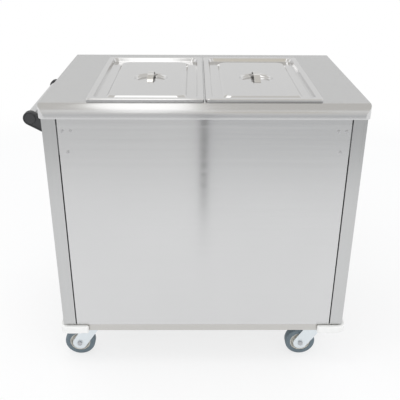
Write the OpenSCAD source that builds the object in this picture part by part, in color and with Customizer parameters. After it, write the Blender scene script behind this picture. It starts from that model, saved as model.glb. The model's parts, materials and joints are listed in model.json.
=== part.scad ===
// Hostess trolley: a heated serving cart with two covered food pans over a hot cupboard.
// X runs along the worktop, -Y is the plain customer face, +Y is the operator's side,
// and Z = 0 is the floor. Sizes are in millimetres.

/* [Worktop] */
// Length of the worktop
top_w = 914; // [900:2:960]
// Depth of the worktop
top_d = 664; // [656:2:700]
// Height of the worktop above the floor
top_h = 900; // [880:5:950]
// Thickness of the worktop sheet
top_t = 1.5; // [1.2:0.1:2]
// Height of the down-turned edge
lip_h = 40; // [36:1:46]
// Radius of the long rolled edges
roll_r = 30; // [24:1:32]
// Radius of the short edges
side_r = 3; // [3:0.5:12]
// Radius of the corners in plan
corner_r = 20; // [14:1:28]
// How far the worktop stands out past the panels
overhang = 8; // [6:0.5:10]

/* [Panels] */
// Thickness of the panel sheet
sheet_t = 1.2; // [0.8:0.1:1.5]
// Width of the side panels' return on the customer face
return_w = 39; // [34:1:44]
// Width of the seam beside the customer panel
seam_w = 3.5; // [2:0.5:5]
// Depth of the folded edges behind the seam
fold_d = 14; // [10:1:18]
// Width of the fixed jamb beside each door
jamb_w = 41; // [38:1:46]

/* [Base] */
// Height of the chassis box section
rail_h = 25; // [20:1:30]
// Wall of the chassis box section
rail_t = 2; // [1.5:0.5:2.5]
// How far the chassis lies behind the panel faces
rail_in = 2; // [1:0.5:3]
// Thickness of the plates in the chassis corners
gusset_t = 3; // [2:0.5:4]
// Thickness of the bumper pad between castor and chassis
pad_t = 15; // [12:1:18]
// How far the bumper's pad lies in from the panels
pad_in = 24; // [16:1:28]
// How far a bumper stands out past the panels
bumper_out = 12.5; // [10:0.5:14]
// Length of each bumper leg along its side
bumper_leg = 93; // [86:1:100]
// Corner radius of a bumper
bumper_r = 30; // [26:1:34]
// Height by which a bumper laps over the chassis
bumper_lap = 23; // [18:1:24]
// How far a bumper hangs below the chassis
bumper_drop = 3; // [2:0.5:4]

/* [Castors] */
// Diameter of the castor wheels
wheel_d = 100; // [96:1:104]
// Width of the castor tyres
wheel_w = 32; // [28:1:34]
// Radius of the wheel centres
rim_r = 34; // [32:0.5:38]
// Height from the floor to the top of the castor plates
castor_h = 128; // [126:1:134]
// Distance from the panel faces to each swivel axis
castor_in = 75; // [74:1:84]
// Distance from swivel axis to axle
trail = 42; // [38:1:44]
// Thickness of the castor plates
plate_t = 3; // [2.5:0.5:4]
// Length of a castor plate
plate_w = 100; // [96:1:102]
// Width of a castor plate
plate_d = 84; // [82:1:88]
// Bolt pitch along a castor plate
bolt_px = 76; // [72:1:78]
// Bolt pitch across a castor plate
bolt_py = 60; // [56:1:64]
// Radius of the castor bolts
bolt_r = 4; // [3:0.5:4]
// Thickness of the fork legs
leg_t = 3; // [2.5:0.5:4]
// Radius of the round lower end of a fork leg
leg_end_r = 23.5; // [18:0.5:25]
// Radius of the axles
axle_r = 5; // [4:0.5:6]
// Radius of the swivel pins
king_r = 6; // [5:0.5:7]
// Radius of the brake pedal pins
pedal_pin_r = 3; // [2.5:0.5:3]
// Downward travel of a brake pedal, degrees
pedal_travel = 10; // [8:1:10]

/* [Food pans] */
// Length of a pan along the worktop's short side
pan_d = 530; // [526:1:534]
// Width of a pan
pan_w = 325; // [321:1:329]
// Depth of a pan
pan_depth = 150; // [65:5:165]
// Sheet of pans and lids
pan_t = 1; // [0.8:0.1:1.2]
// Width of the rim round a pan
rim_w = 11; // [9:0.5:13]
// Height of the turned edge of a pan's rim
rim_h = 4; // [3:0.5:5]
// Gap between the two pans
pan_gap = 4.2; // [3:0.2:8]
// Distance from the worktop's front edge to the pans
front_strip = 29; // [26:1:36]
// Play between a pan and its hole in the worktop
hole_gap = 2; // [1:0.5:3]
// Depth of the heated tank
tank_depth = 185; // [180:5:200]

/* [Lids] */
// Height of a lid's turned edge
lid_edge = 4.4; // [3:0.2:6]
// Width of a lid's flat flange
lid_flange = 17; // [14:1:20]
// Depth of the recess inside the flange
lid_drop = 12; // [9:1:15]
// Width of the recessed band
lid_band = 38; // [30:1:44]
// Height of the raised middle above the band
lid_raise = 6; // [4:1:8]
// Radius of the round finger dish
dish_r = 52.5; // [48:0.5:56]
// Depth of the finger dish
dish_depth = 9; // [6:1:11]
// Width of the strap handle
strap_w = 20; // [16:1:26]
// Thickness of the strap handle
strap_t = 3; // [2:0.5:4]
// Rise of the strap handle above the lid
strap_rise = 16; // [12:1:20]

/* [Push handle] */
// Diameter of the push handle tube
tube_d = 32; // [28:1:38]
// Wall of the push handle tube
tube_t = 1.5; // [1.2:0.1:2]
// Distance from the side panel to the tube's middle
tube_out = 66; // [60:0.5:72]
// Drop from the worktop to the tube's middle
tube_drop = 83; // [80:1:90]
// Length from bracket end to bracket end
handle_len = 390; // [360:5:480]
// Thickness of a bracket along the tube
bracket_len = 18; // [16:1:30]
// Wall of a bracket round the tube
bracket_wall = 5; // [3:0.5:6]
// Drop from the tube's middle to the top of a bracket foot
foot_hi = 17; // [14:1:20]
// Drop from the tube's middle to the bottom of a bracket foot
foot_lo = 60; // [56:1:66]

/* [Cupboard] */
// Thickness of the doors
door_t = 28; // [24:1:32]
// Gap round each door
door_gap = 3; // [2:0.5:4]
// Height of the visible control panel with its gap
control_h = 92; // [84:2:100]
// Space between the outer panels and the heated liner
liner_in = 53; // [50:1:60]
// Height of the liner floor above the chassis
liner_lift = 22; // [18:1:30]
// Inside height of the cupboard
liner_h = 470; // [420:5:475]
// Height of the shelf above the cupboard floor
shelf_up = 235; // [180:5:280]
// Diameter of the door handle bars
pull_d = 12; // [10:1:14]
// Length of the door handle bars
pull_len = 160; // [140:5:200]
// Distance from a door to the middle of its handle bar
pull_out = 26; // [22:1:32]
// Height of the hinges
hinge_h = 60; // [50:2:70]
// Radius of the hinge knuckles
knuckle_r = 5; // [4.5:0.1:5.2]
// Radius of the hinge pins
hinge_pin_r = 3; // [2.5:0.1:3.5]

/* [Controls and heating] */
// Diameter of the knobs
knob_d = 42; // [36:1:46]
// Height of the knobs
knob_h = 22; // [18:1:26]
// Distance between the knobs
knob_pitch = 110; // [90:5:140]
// Width of the switch opening
switch_w = 20; // [20:0.5:22]
// Height of the switch opening
switch_h = 28; // [28:0.5:30]
// Diameter of the indicator lamp
lamp_d = 14; // [12:1:18]
// Diameter of the heating element tube
element_d = 8.5; // [6.5:0.5:10]
// Spacing of the element's straight runs
element_pitch = 90; // [70:5:100]
// Radius of the cord entry through the gland
gland_bore = 4.5; // [3.5:0.5:5]

/* [Clearances] */
// Gap between pieces that move past each other
run_gap = 0.3; // [0.2:0.05:0.5]
// Radial gap of a turning pin in its bore
pin_gap = 0.05; // [0.03:0.01:0.08]
// Radial gap of a bolt or screw in its hole
bolt_gap = 0.2; // [0.1:0.05:0.4]

/* [Hidden] */
$fn = 64;
eps = 1;

// Clearance round a part that is let in, and how far joined solids run into each other
fit_gap = 0.1;
lap = 0.5;

// Half sizes and levels of the body
body_x = top_w / 2 - overhang;
body_y = top_d / 2 - overhang;
pad_z = castor_h;
rail_z = pad_z + pad_t;
body_z = rail_z + rail_h;
sheet_z = top_h - top_t;
lip_z = top_h - lip_h;
// The panels end a little under the bend of the worktop's side and rolled edges
wrap_in = 10;
side_bend_x = top_w / 2 - side_r;
side_bend_r = side_r - top_t;
side_rise = sqrt(pow(side_bend_r, 2) - pow(max(0, body_x - side_bend_x), 2));
panel_top = top_h - side_r + side_rise - 2 * run_gap;
wrap_top = top_h - roll_r + wrap_in;
flat_y = top_d / 2 - roll_r - eps;
panel_x = body_x - return_w - seam_w;
panel_in = 0.6;
panel_y = body_y - panel_in;
jamb_x = body_x - jamb_w;
floor_t = 1.5;
side_flange = 20;

// Chassis and castors
rail_x = body_x - rail_in;
rail_y = body_y - rail_in;
castor_x = body_x - castor_in;
castor_y = body_y - castor_in;
gusset_x = castor_x - plate_w / 2;
gusset_y = castor_y - plate_d / 2;
pad_x = body_x - pad_in;
pad_y = body_y - pad_in;
axle_z = wheel_d / 2;
race_t = 3;
race_r = 27;
fork_z = castor_h - plate_t - race_t - run_gap;
head_t = 9.5;
bridge_z = fork_z - head_t - leg_t;
wheel_gap = 2.5;
leg_in = wheel_w / 2 + wheel_gap;
leg_out = leg_in + leg_t;
leg_x0 = -30;
leg_x1 = 28;
head_r = 26;
king_head = 3.7;
king_head_r = king_r + 4;
plate_r = 8;
hex_ratio = 1.7;
nut_h = 6.5;
washer_t = 5;
pedal_x = -18;
pedal_z = bridge_z - 2 * pedal_pin_r;
corner_x = [-1, 1, -1, 1];
corner_y = [-1, -1, 1, 1];
corner_id = ["front_left", "front_right", "rear_left", "rear_right"];
side_id = ["left", "right"];

// Pans, wells and lids
pan_x = (pan_w + pan_gap) / 2;
pan_y = front_strip + pan_d / 2 - top_d / 2;
pan_top = top_h + run_gap + rim_h;
pan_r = 10;
well_w = pan_w - 2 * rim_w;
well_d = pan_d - 2 * rim_w;
well_r = 26;
hole_w = well_w + 2 * hole_gap;
hole_d = well_d + 2 * hole_gap;
tank_gap = 2;
tank_x = pan_x + hole_w / 2 + tank_gap;
tank_y = hole_d / 2 + tank_gap;
tank_z = sheet_z - tank_depth;
tank_flange = 5;
lid_z = pan_top + run_gap + lid_edge;
recess_w = pan_w - 2 * lid_flange;
recess_d = pan_d - 2 * lid_flange;
raised_w = recess_w - 2 * lid_band;
raised_d = recess_d - 2 * lid_band;
raised_z = lid_z - lid_drop + lid_raise;
strap_half = dish_r + 8;
strap_R = (pow(strap_half, 2) + pow(strap_rise, 2)) / (2 * strap_rise);

// Push handle
tube_r = tube_d / 2;
tube_x = body_x + tube_out;
tube_z = top_h - tube_drop;
tube_end = 4;
bracket_r = tube_r + bracket_wall;
foot_screw_in = 14;
foot_screw_l = 12;
foot_bore = foot_screw_l + 2;

// Cupboard, doors and controls
door_z0 = body_z + 5;
door_z1 = lip_z - control_h;
door_x0 = door_gap / 2;
door_x1 = jamb_x - door_gap;
door_y = body_y - door_t;
liner_x = body_x - liner_in;
liner_z = body_z + liner_lift;
liner_top = liner_z + liner_h;
liner_y1 = door_y - 1 - run_gap;
liner_y0 = liner_y1 - sheet_t;
liner_back = -(body_y - 24);
flange_x = jamb_x + 32;
flange_z = body_z + 3;
flange_top = door_z1 + 2;
shelf_z = liner_z + shelf_up;
support_w = 15;
shelf_lip = 12;
catch_w = 40;
catch_h = 16;
catch_x = 15;
catch_deep = 12;
// The catches sit near the top of the strip between the liner's roof and the top of the doors
catch_low = liner_top + sheet_t;
catch_z = catch_low + (door_z1 - catch_h - catch_low) * 8 / 9;
hinge_x = jamb_x - door_gap / 2;
hinge_y = body_y + knuckle_r + 1;
hinge_in = 80;
leaf_t = 2;
leaf_w = 30;
door_leaf_in = 3.5;
jamb_leaf_in = 4.5;
pull_x = 45;
pull_z = (door_z0 + door_z1) / 2 + 120;
post_r = 5;
control_z0 = door_z1 + 4;
control_z = (door_z1 + lip_z) / 2 + 2;
knob_left = 260;
knob_x = [-knob_left, knob_pitch - knob_left];
knob_bore_h = 12;
knob_gap = 1;
shaft_r = 3;
shaft_short = 1.5;
thermostat_w = 38;
thermostat_d = 30;
switch_x = 150;
bezel_t = 2;
switch_deep = 28;
rocker_y = panel_y - 2;
rocker_w = switch_w - 4.6;
rocker_end = switch_h / 2 - 4;
rocker_pin_r = 1.5;
rocker_tilt = 8;
lamp_pitch = 70;
lamp_x = switch_x + lamp_pitch;
lamp_stem_r = lamp_d / 2 - 2;
element_r = element_d / 2;
element_gap = 0.15;
well_element_in = 70;
cupboard_element_in = 120;
cold_lead = 20;
gland_x = 230;
gland_in = 75;
gland_y = body_y - gland_in;
gland_r = 10;

// Screws of the customer panel and of the push handle
screw_r = 2.5;
screw_head_r = 4.4;
screw_head_h = 2.2;
screw_drop = 36.5;
screw_pitch_z = 61.5;
screw_pitch_x = 23;
screw_edge = 12.5;
screw_head_in = 1;
screw_hi_z = lip_z - screw_drop;
screw_lo_z = screw_hi_z - screw_pitch_z;
screw_out_x = panel_x - screw_edge;
screw_in_x = screw_out_x - screw_pitch_x;
tab_over = 14;
tab_side = 8.5;
tab_x = screw_in_x - tab_side;

// The origin is under the middle of the whole trolley, push handle and door handles included
frame_x = (tube_x + bracket_r - body_x - bumper_out) / 2;
frame_y = (bumper_out - pull_out - pull_d / 2) / 2;

// --- Helpers ---

// A box between two corners
module box(a, b) {
    translate(a)
        cube(b - a);
}

// A centred rectangle with round corners
module round_rect(w, d, r) {
    square([w - 2 * r, d], center = true);
    square([w, d - 2 * r], center = true);
    for (x = [-1, 1], y = [-1, 1])
        translate([x * (w / 2 - r), y * (d / 2 - r)])
            circle(r);
}

// An extruded ring between two rounded rectangles
module rect_ring(w, d, r, wall, h) {
    linear_extrude(h)
        difference() {
            round_rect(w, d, r);
            round_rect(w - 2 * wall, d - 2 * wall, r - wall);
        }
}

// A flat-bottomed outline whose two top corners are round
module arch_profile(w, h, r) {
    translate([-w / 2, 0])
        square([w, h - r]);
    translate([r - w / 2, 0])
        square([w - 2 * r, h]);
    for (s = [-1, 1])
        translate([s * (w / 2 - r), h - r])
            circle(r);
}

// Where the tangent from point p touches a circle of radius r at c; side is 1 or -1
function tangent(c, r, p, side) =
    let (v = p - c, a = atan2(v[1], v[0]) + side * acos(r / norm(v)))
    c + r * [cos(a), sin(a)];

// Extrudes an XZ outline along Y between two values
module extrude_y(y0, y1) {
    translate([0, y1, 0])
        rotate([90, 0, 0])
            linear_extrude(y1 - y0)
                children();
}

// A cylinder along Y between two values
module rod_y(r, y0, y1) {
    translate([0, y0, 0])
        rotate([-90, 0, 0])
            cylinder(r = r, h = y1 - y0);
}

module placed() {
    translate([frame_x, frame_y, 0])
        children();
}

// Draws a piece that is made for the right side, on side s
module on_side(s) {
    mirror([s < 0 ? 1 : 0, 0, 0])
        children();
}

module at_corner(i) {
    translate([corner_x[i] * castor_x, corner_y[i] * castor_y, 0])
        children();
}

// Holes or shanks at the four bolts of one castor plate
module bolt_pattern(r, z0, z1) {
    for (x = [-1, 1], y = [-1, 1])
        translate([x * bolt_px / 2, y * bolt_py / 2, z0])
            cylinder(r = r, h = z1 - z0);
}

// --- Base ---

// Welded ring of box section with a plate in each corner for the castor
module chassis_frame() {
    color("gainsboro")
        difference() {
            box([-rail_x, -rail_y, rail_z], [rail_x, rail_y, body_z]);
            // The opening of the ring, less the corner plates
            difference() {
                box([rail_h - rail_x, rail_h - rail_y, rail_z - eps],
                    [rail_x - rail_h, rail_y - rail_h, body_z + eps]);
                for (i = [0:3])
                    scale([corner_x[i], corner_y[i], 1])
                        box([gusset_x, gusset_y, rail_z],
                            [rail_x, rail_y, rail_z + gusset_t]);
            }
            // The hollow of the box section
            difference() {
                box([rail_t - rail_x, rail_t - rail_y, rail_z + rail_t],
                    [rail_x - rail_t, rail_y - rail_t, body_z - rail_t]);
                box([rail_h - rail_t - rail_x, rail_h - rail_t - rail_y, rail_z],
                    [rail_x - rail_h + rail_t, rail_y - rail_h + rail_t, body_z]);
            }
            for (i = [0:3])
                at_corner(i)
                    bolt_pattern(bolt_r + bolt_gap, rail_z - eps, rail_z + gusset_t + eps);
        }
}

// One bumper for the corner at +X, +Y: a pad under the chassis and a rim round its corner
module corner_bumper() {
    out_x = body_x + bumper_out;
    out_y = body_y + bumper_out;
    wall_x = out_x - rail_x;
    wall_y = out_y - rail_y;
    end_x = out_x - bumper_leg;
    end_y = out_y - bumper_leg;
    difference() {
        union() {
            translate([0, 0, rail_z - bumper_drop])
                linear_extrude(bumper_drop + bumper_lap)
                    difference() {
                        union() {
                            translate([out_x - bumper_r, out_y - bumper_r])
                                circle(bumper_r);
                            translate([end_x + wall_y / 2, out_y - wall_y])
                                square([bumper_leg - wall_y / 2 - bumper_r, wall_y]);
                            translate([out_x - wall_x, end_y + wall_x / 2])
                                square([wall_x, bumper_leg - wall_x / 2 - bumper_r]);
                            translate([end_x + wall_y / 2, out_y - wall_y / 2])
                                circle(wall_y / 2);
                            translate([out_x - wall_x / 2, end_y + wall_x / 2])
                                circle(wall_x / 2);
                        }
                        square([rail_x, rail_y]);
                    }
            translate([(gusset_x + pad_x) / 2, (gusset_y + pad_y) / 2, pad_z])
                linear_extrude(pad_t)
                    round_rect(pad_x - gusset_x, pad_y - gusset_y, bumper_r / 2);
            // The rim's foot joins the pad to the rim under the chassis
            translate([0, 0, rail_z - bumper_drop])
                linear_extrude(bumper_drop)
                    translate([(end_x + out_x) / 2, (end_y + out_y) / 2])
                        round_rect(bumper_leg - 2, bumper_leg - 2, bumper_r - 1);
        }
        translate([castor_x, castor_y, 0])
            bolt_pattern(bolt_r + bolt_gap, pad_z - eps, rail_z + eps);
    }
}

module corner_bumpers() {
    color("whitesmoke")
        for (i = [0:3])
            mirror([corner_x[i] < 0 ? 1 : 0, 0, 0])
                mirror([0, corner_y[i] < 0 ? 1 : 0, 0])
                    corner_bumper();
}

// Sheet floor of the body, resting on the chassis
module base_pan() {
    color("silver")
        difference() {
            box([-rail_x, -rail_y, body_z], [rail_x, rail_y, body_z + floor_t]);
            translate([gland_x, gland_y, body_z - eps])
                cylinder(r = gland_r + bolt_gap, h = floor_t + 2 * eps);
        }
}

// Gland in the base pan through which a mains lead enters
module cable_gland() {
    cap_h = 10;
    hex_h = 8;
    nut_t = 5;
    hex_r = gland_r + 4;
    low = -cap_h - hex_h;
    color("dimgray")
        translate([gland_x, gland_y, body_z])
            difference() {
                union() {
                    translate([0, 0, low])
                        cylinder(r = gland_r + 1, h = cap_h);
                    translate([0, 0, -hex_h])
                        cylinder(r = hex_r, h = hex_h, $fn = 6);
                    cylinder(r = gland_r, h = floor_t);
                    translate([0, 0, floor_t])
                        cylinder(r = hex_r, h = nut_t, $fn = 6);
                }
                translate([0, 0, low - eps])
                    cylinder(r = gland_bore, h = floor_t + nut_t - low + 2 * eps);
            }
}

// --- Castors ---

// Fixed top of a castor: bolted plate, bearing race and swivel pin
module castor_plates() {
    color("lightsteelblue")
        for (i = [0:3])
            at_corner(i) {
                difference() {
                    translate([0, 0, castor_h - plate_t])
                        linear_extrude(plate_t)
                            round_rect(plate_w, plate_d, plate_r);
                    bolt_pattern(bolt_r + bolt_gap, castor_h - plate_t - eps, castor_h + eps);
                }
                translate([0, 0, castor_h - plate_t - race_t])
                    cylinder(r = race_r, h = race_t + lap);
                translate([0, 0, bridge_z - run_gap])
                    cylinder(r = king_r, h = castor_h - plate_t - bridge_z);
                translate([0, 0, bridge_z - run_gap - king_head])
                    cylinder(r = king_head_r, h = king_head);
            }
}

// Sixteen hexagon bolts and nuts that clamp castor, bumper and chassis together
module castor_bolts() {
    color("silver")
        for (i = [0:3])
            at_corner(i)
                for (x = [-1, 1], y = [-1, 1])
                    translate([x * bolt_px / 2, y * bolt_py / 2, 0]) {
                        translate([0, 0, castor_h - plate_t - washer_t])
                            cylinder(r = hex_ratio * bolt_r, h = washer_t, $fn = 6);
                        translate([0, 0, castor_h - plate_t - lap])
                            cylinder(r = bolt_r, h = plate_t + pad_t + gusset_t + nut_h + 2 * lap);
                        translate([0, 0, rail_z + gusset_t])
                            cylinder(r = hex_ratio * bolt_r, h = nut_h, $fn = 6);
                    }
}

// Outline of a fork leg in its XZ plane, from the bridge to the round end at the axle.
// The flanks run a little inside the round end, so they cross it instead of just touching it.
module leg_outline() {
    hub = [-trail, axle_z];
    flank_r = leg_end_r - 0.3;
    rear = tangent(hub, flank_r, [leg_x0, bridge_z + leg_t], 1);
    front = tangent(hub, flank_r, [leg_x1, bridge_z + leg_t], -1);
    polygon([[leg_x0, bridge_z + leg_t], rear, hub, front, [leg_x1, bridge_z + leg_t]]);
    translate(hub)
        circle(leg_end_r);
}

module castor_fork(i) {
    color("lightsteelblue")
        at_corner(i)
            difference() {
                union() {
                    translate([0, 0, bridge_z + leg_t])
                        cylinder(r = head_r, h = head_t);
                    box([leg_x0, -leg_out, bridge_z], [leg_x1, leg_out, bridge_z + leg_t]);
                    for (y = [-leg_out, leg_in])
                        extrude_y(y, y + leg_t)
                            leg_outline();
                }
                translate([0, 0, bridge_z - eps])
                    cylinder(r = king_r + pin_gap, h = leg_t + head_t + 2 * eps);
                translate([-trail, 0, axle_z])
                    rod_y(axle_r + pin_gap, -leg_out - eps, leg_out + eps);
                if (corner_y[i] > 0)
                    translate([pedal_x, 0, pedal_z])
                        rod_y(pedal_pin_r + pin_gap, -leg_out - eps, leg_out + eps);
            }
}

// Axle bolt with a hexagon head outside one leg and a nut outside the other
module castor_axle(i) {
    nut_t = 5;
    thread = 1;
    color("silver")
        at_corner(i)
            translate([-trail, 0, axle_z]) {
                rod_y(axle_r, -leg_out - nut_t + thread, leg_out + nut_t + thread);
                for (y = [-leg_out - nut_t, leg_out])
                    translate([0, y, 0])
                        rotate([-90, 30, 0])
                            cylinder(r = hex_ratio * axle_r, h = nut_t, $fn = 6);
            }
}

// Hub, web and rim of a wheel
module wheel_centre(i) {
    hub_r = 2.2 * axle_r;
    hub_y = leg_in - run_gap;
    rim_y = wheel_w / 2 - 2;
    web_y = 5;
    lip_r = rim_r - 3;
    pocket_r = rim_r - 4;
    step = 4;
    color("beige")
        at_corner(i)
            translate([-trail, 0, axle_z])
                difference() {
                    union() {
                        rod_y(hub_r, -hub_y, hub_y);
                        rod_y(rim_r - 1, -web_y, web_y);
                        difference() {
                            rod_y(rim_r, -rim_y, rim_y);
                            for (y = [-rim_y - eps, rim_y - step])
                                rod_y(lip_r, y, y + step + eps);
                        }
                    }
                    for (y = [-rim_y - eps, web_y])
                        translate([0, y, 0])
                            difference() {
                                rod_y(pocket_r, 0, rim_y - web_y + eps);
                                rod_y(hub_r, -eps, rim_y);
                            }
                    rod_y(axle_r + pin_gap, -hub_y - eps, hub_y + eps);
                }
}

module tyre(i) {
    crown = 8;
    color("slategray")
        at_corner(i)
            translate([-trail, 0, axle_z])
                rotate([90, 0, 0])
                    rotate_extrude()
                        difference() {
                            union() {
                                translate([0, -wheel_w / 2])
                                    square([wheel_d / 2 - crown, wheel_w]);
                                translate([0, crown - wheel_w / 2])
                                    square([wheel_d / 2, wheel_w - 2 * crown]);
                                for (y = [-1, 1])
                                    translate([wheel_d / 2 - crown, y * (wheel_w / 2 - crown)])
                                        circle(crown);
                            }
                            translate([-eps, -wheel_w])
                                square([rim_r + pin_gap + eps, 2 * wheel_w]);
                        }
}

// Foot brake on a rear castor: two arms outside the fork, a tread plate and a shoe over the tyre
module brake_pedal(i) {
    arm_in = leg_out + run_gap;
    arm_out = arm_in + leg_t;
    boss_r = 7;
    bar_l = 10;
    bar_z = fork_z - head_t - 2;
    bar_top = bar_z + 3;
    shoe_l = 6;
    shoe_in = 4;
    shoe_x = -56;
    shoe_z = axle_z + sqrt(pow(wheel_d / 2, 2) - pow(shoe_x + trail, 2));
    travel = (pedal_x - shoe_x) * sin(pedal_travel) + 1;
    tread_l = 26;
    tread_over = 3;
    tread_x = -trail - wheel_d / 2 - 4;
    tread_z = pedal_z - 11;
    tread_top = pedal_z - 8;
    color("firebrick")
        at_corner(i) {
            for (y = [-arm_out, arm_in])
                extrude_y(y, y + leg_t) {
                    polygon([
                        [pedal_x, pedal_z + boss_r], [shoe_x + bar_l, bar_top],
                        [shoe_x - bar_l, bar_top], [tread_x, pedal_z - 6],
                        [tread_x - tread_l, tread_top], [tread_x - tread_l, tread_z],
                        [tread_x, tread_z], [shoe_x, pedal_z - 5],
                        [pedal_x, pedal_z - boss_r]
                    ]);
                    translate([pedal_x, pedal_z])
                        circle(boss_r);
                }
            translate([pedal_x, 0, pedal_z])
                rod_y(pedal_pin_r, -arm_out, arm_out);
            box([shoe_x - bar_l, -arm_out, bar_z], [shoe_x + bar_l, arm_out, bar_top]);
            box([shoe_x - shoe_l, shoe_in - wheel_w / 2, shoe_z + travel],
                [shoe_x + shoe_l, wheel_w / 2 - shoe_in, bar_z + 1]);
            box([tread_x - tread_l, -arm_out - tread_over, tread_z],
                [tread_x, arm_out + tread_over, tread_top]);
        }
}

// --- Body panels ---

// Folded side panel, drawn for +X: wraps round both faces and has a bottom and a top flange
module side_panel_shape() {
    inner = body_x - sheet_t;
    front_x = body_x - return_w;
    difference() {
        union() {
            box([inner, -body_y, body_z], [body_x, body_y, wrap_top]);
            box([inner, -flat_y, wrap_top - eps], [body_x, flat_y, panel_top]);
            box([body_x - side_flange, -flat_y, panel_top - sheet_t], [body_x, flat_y, panel_top]);
            box([body_x - side_flange, sheet_t - body_y, body_z + floor_t],
                [body_x, body_y - sheet_t, body_z + floor_t + sheet_t]);
            // Return on the customer face, its fold and the tab behind the customer panel
            box([front_x, -body_y, body_z], [body_x, sheet_t - body_y, wrap_top]);
            box([front_x, -body_y, body_z + floor_t],
                [front_x + sheet_t, fold_d - body_y + sheet_t, wrap_top]);
            box([tab_x, fold_d - body_y + run_gap, screw_lo_z - tab_over],
                [front_x + sheet_t, fold_d - body_y + sheet_t, screw_hi_z + tab_over]);
            // Jamb beside the door
            box([jamb_x, body_y - sheet_t, body_z], [body_x, body_y, wrap_top]);
            box([jamb_x, liner_y1 + run_gap, body_z + floor_t],
                [jamb_x + sheet_t, body_y, wrap_top]);
        }
        // The base pan and the chassis lie inside the skirt
        box([0, -rail_y - fit_gap, body_z - eps],
            [rail_x + fit_gap, rail_y + fit_gap, body_z + floor_t]);
        panel_screws(screw_r + bolt_gap, -body_y, fold_d - body_y + 2 * sheet_t);
    }
}

module side_panel_left() {
    color("lightgray")
        difference() {
            on_side(-1)
                side_panel_shape();
            for (y = [-1, 1], z = foot_screws())
                translate([-body_x - eps, y * (handle_len - bracket_len) / 2, z])
                    rotate([0, 90, 0])
                        cylinder(r = screw_r + bolt_gap, h = sheet_t + 2 * eps);
        }
}

module side_panel_right() {
    color("lightgray")
        side_panel_shape();
}

// Flat removable panel of the customer face, with folded edges
module back_panel() {
    outer = -panel_y;
    inner = sheet_t - panel_y;
    fold_y = fold_d - body_y;
    low = body_z + floor_t + run_gap;
    color("gainsboro")
        difference() {
            union() {
                box([-panel_x, outer, body_z], [panel_x, inner, wrap_top]);
                for (s = [-1, 1])
                    on_side(s)
                        box([panel_x - sheet_t, outer, low], [panel_x, fold_y, wrap_top]);
                for (z = [low, wrap_top - sheet_t])
                    box([-panel_x, outer, z], [panel_x, fold_y, z + sheet_t]);
            }
            for (s = [-1, 1])
                on_side(s)
                    panel_screws(screw_r + bolt_gap, outer - eps, inner + eps);
        }
}

// The three screws at one top corner of the customer panel, as plain rods
module panel_screws(r, y0, y1) {
    for (x = [screw_out_x, screw_in_x])
        translate([x, 0, screw_hi_z])
            rod_y(r, y0, y1);
    translate([(screw_out_x + screw_in_x) / 2, 0, screw_lo_z])
        rod_y(r, y0, y1);
}

// Heights of the two screws in each foot of the push handle
function foot_screws() = [tube_z - foot_hi - foot_screw_in, tube_z - foot_lo + foot_screw_in];

// Button-head screws of the customer panel and, from inside, of the push handle brackets
module body_screws() {
    color("dimgray") {
        for (s = [-1, 1])
            on_side(s) {
                panel_screws(screw_head_r, -panel_y - screw_head_h, -panel_y);
                panel_screws(screw_r, -panel_y - screw_head_in, fold_d - body_y + 3 * sheet_t);
            }
        for (y = [-1, 1], z = foot_screws())
            translate([-body_x, y * (handle_len - bracket_len) / 2, z])
                rotate([0, 90, 0]) {
                    translate([0, 0, -foot_screw_l])
                        cylinder(r = screw_r, h = foot_screw_l + sheet_t + screw_head_in);
                    translate([0, 0, sheet_t])
                        cylinder(r = screw_head_r, h = screw_head_h);
                }
    }
}

// --- Worktop and wells ---

// A slab whose long edges, short edges and corners are round
module top_slab(w, d, h, roll, side, corner) {
    intersection() {
        rotate([90, 0, 90])
            linear_extrude(w + 2, center = true)
                arch_profile(d, h, roll);
        rotate([90, 0, 0])
            linear_extrude(d + 2, center = true)
                arch_profile(w, h, side);
        linear_extrude(h)
            round_rect(w, d, corner);
    }
}

module worktop() {
    color("silver")
        difference() {
            translate([0, 0, lip_z])
                top_slab(top_w, top_d, lip_h, roll_r, side_r, corner_r);
            translate([0, 0, lip_z - eps])
                top_slab(top_w - 2 * top_t, top_d - 2 * top_t, lip_h - top_t + eps,
                         roll_r - top_t, side_r - top_t, corner_r - top_t);
            for (s = [-1, 1])
                translate([s * pan_x, pan_y, lip_z])
                    linear_extrude(lip_h + eps)
                        round_rect(hole_w, hole_d, well_r + hole_gap);
        }
}

// Tank under both pans, hung from the underside of the worktop
module well_tank() {
    color("silver")
        translate([0, pan_y, 0])
            difference() {
                union() {
                    translate([0, 0, tank_z - sheet_t])
                        linear_extrude(tank_depth + sheet_t)
                            round_rect(2 * tank_x + 2 * sheet_t, 2 * tank_y + 2 * sheet_t, well_r);
                    translate([0, 0, sheet_z - sheet_t])
                        linear_extrude(sheet_t)
                            round_rect(2 * (tank_x + tank_flange), 2 * (tank_y + tank_flange),
                                       well_r + tank_flange);
                }
                translate([0, 0, tank_z])
                    linear_extrude(tank_depth + eps)
                        round_rect(2 * tank_x, 2 * tank_y, well_r - sheet_t);
            }
}

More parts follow.
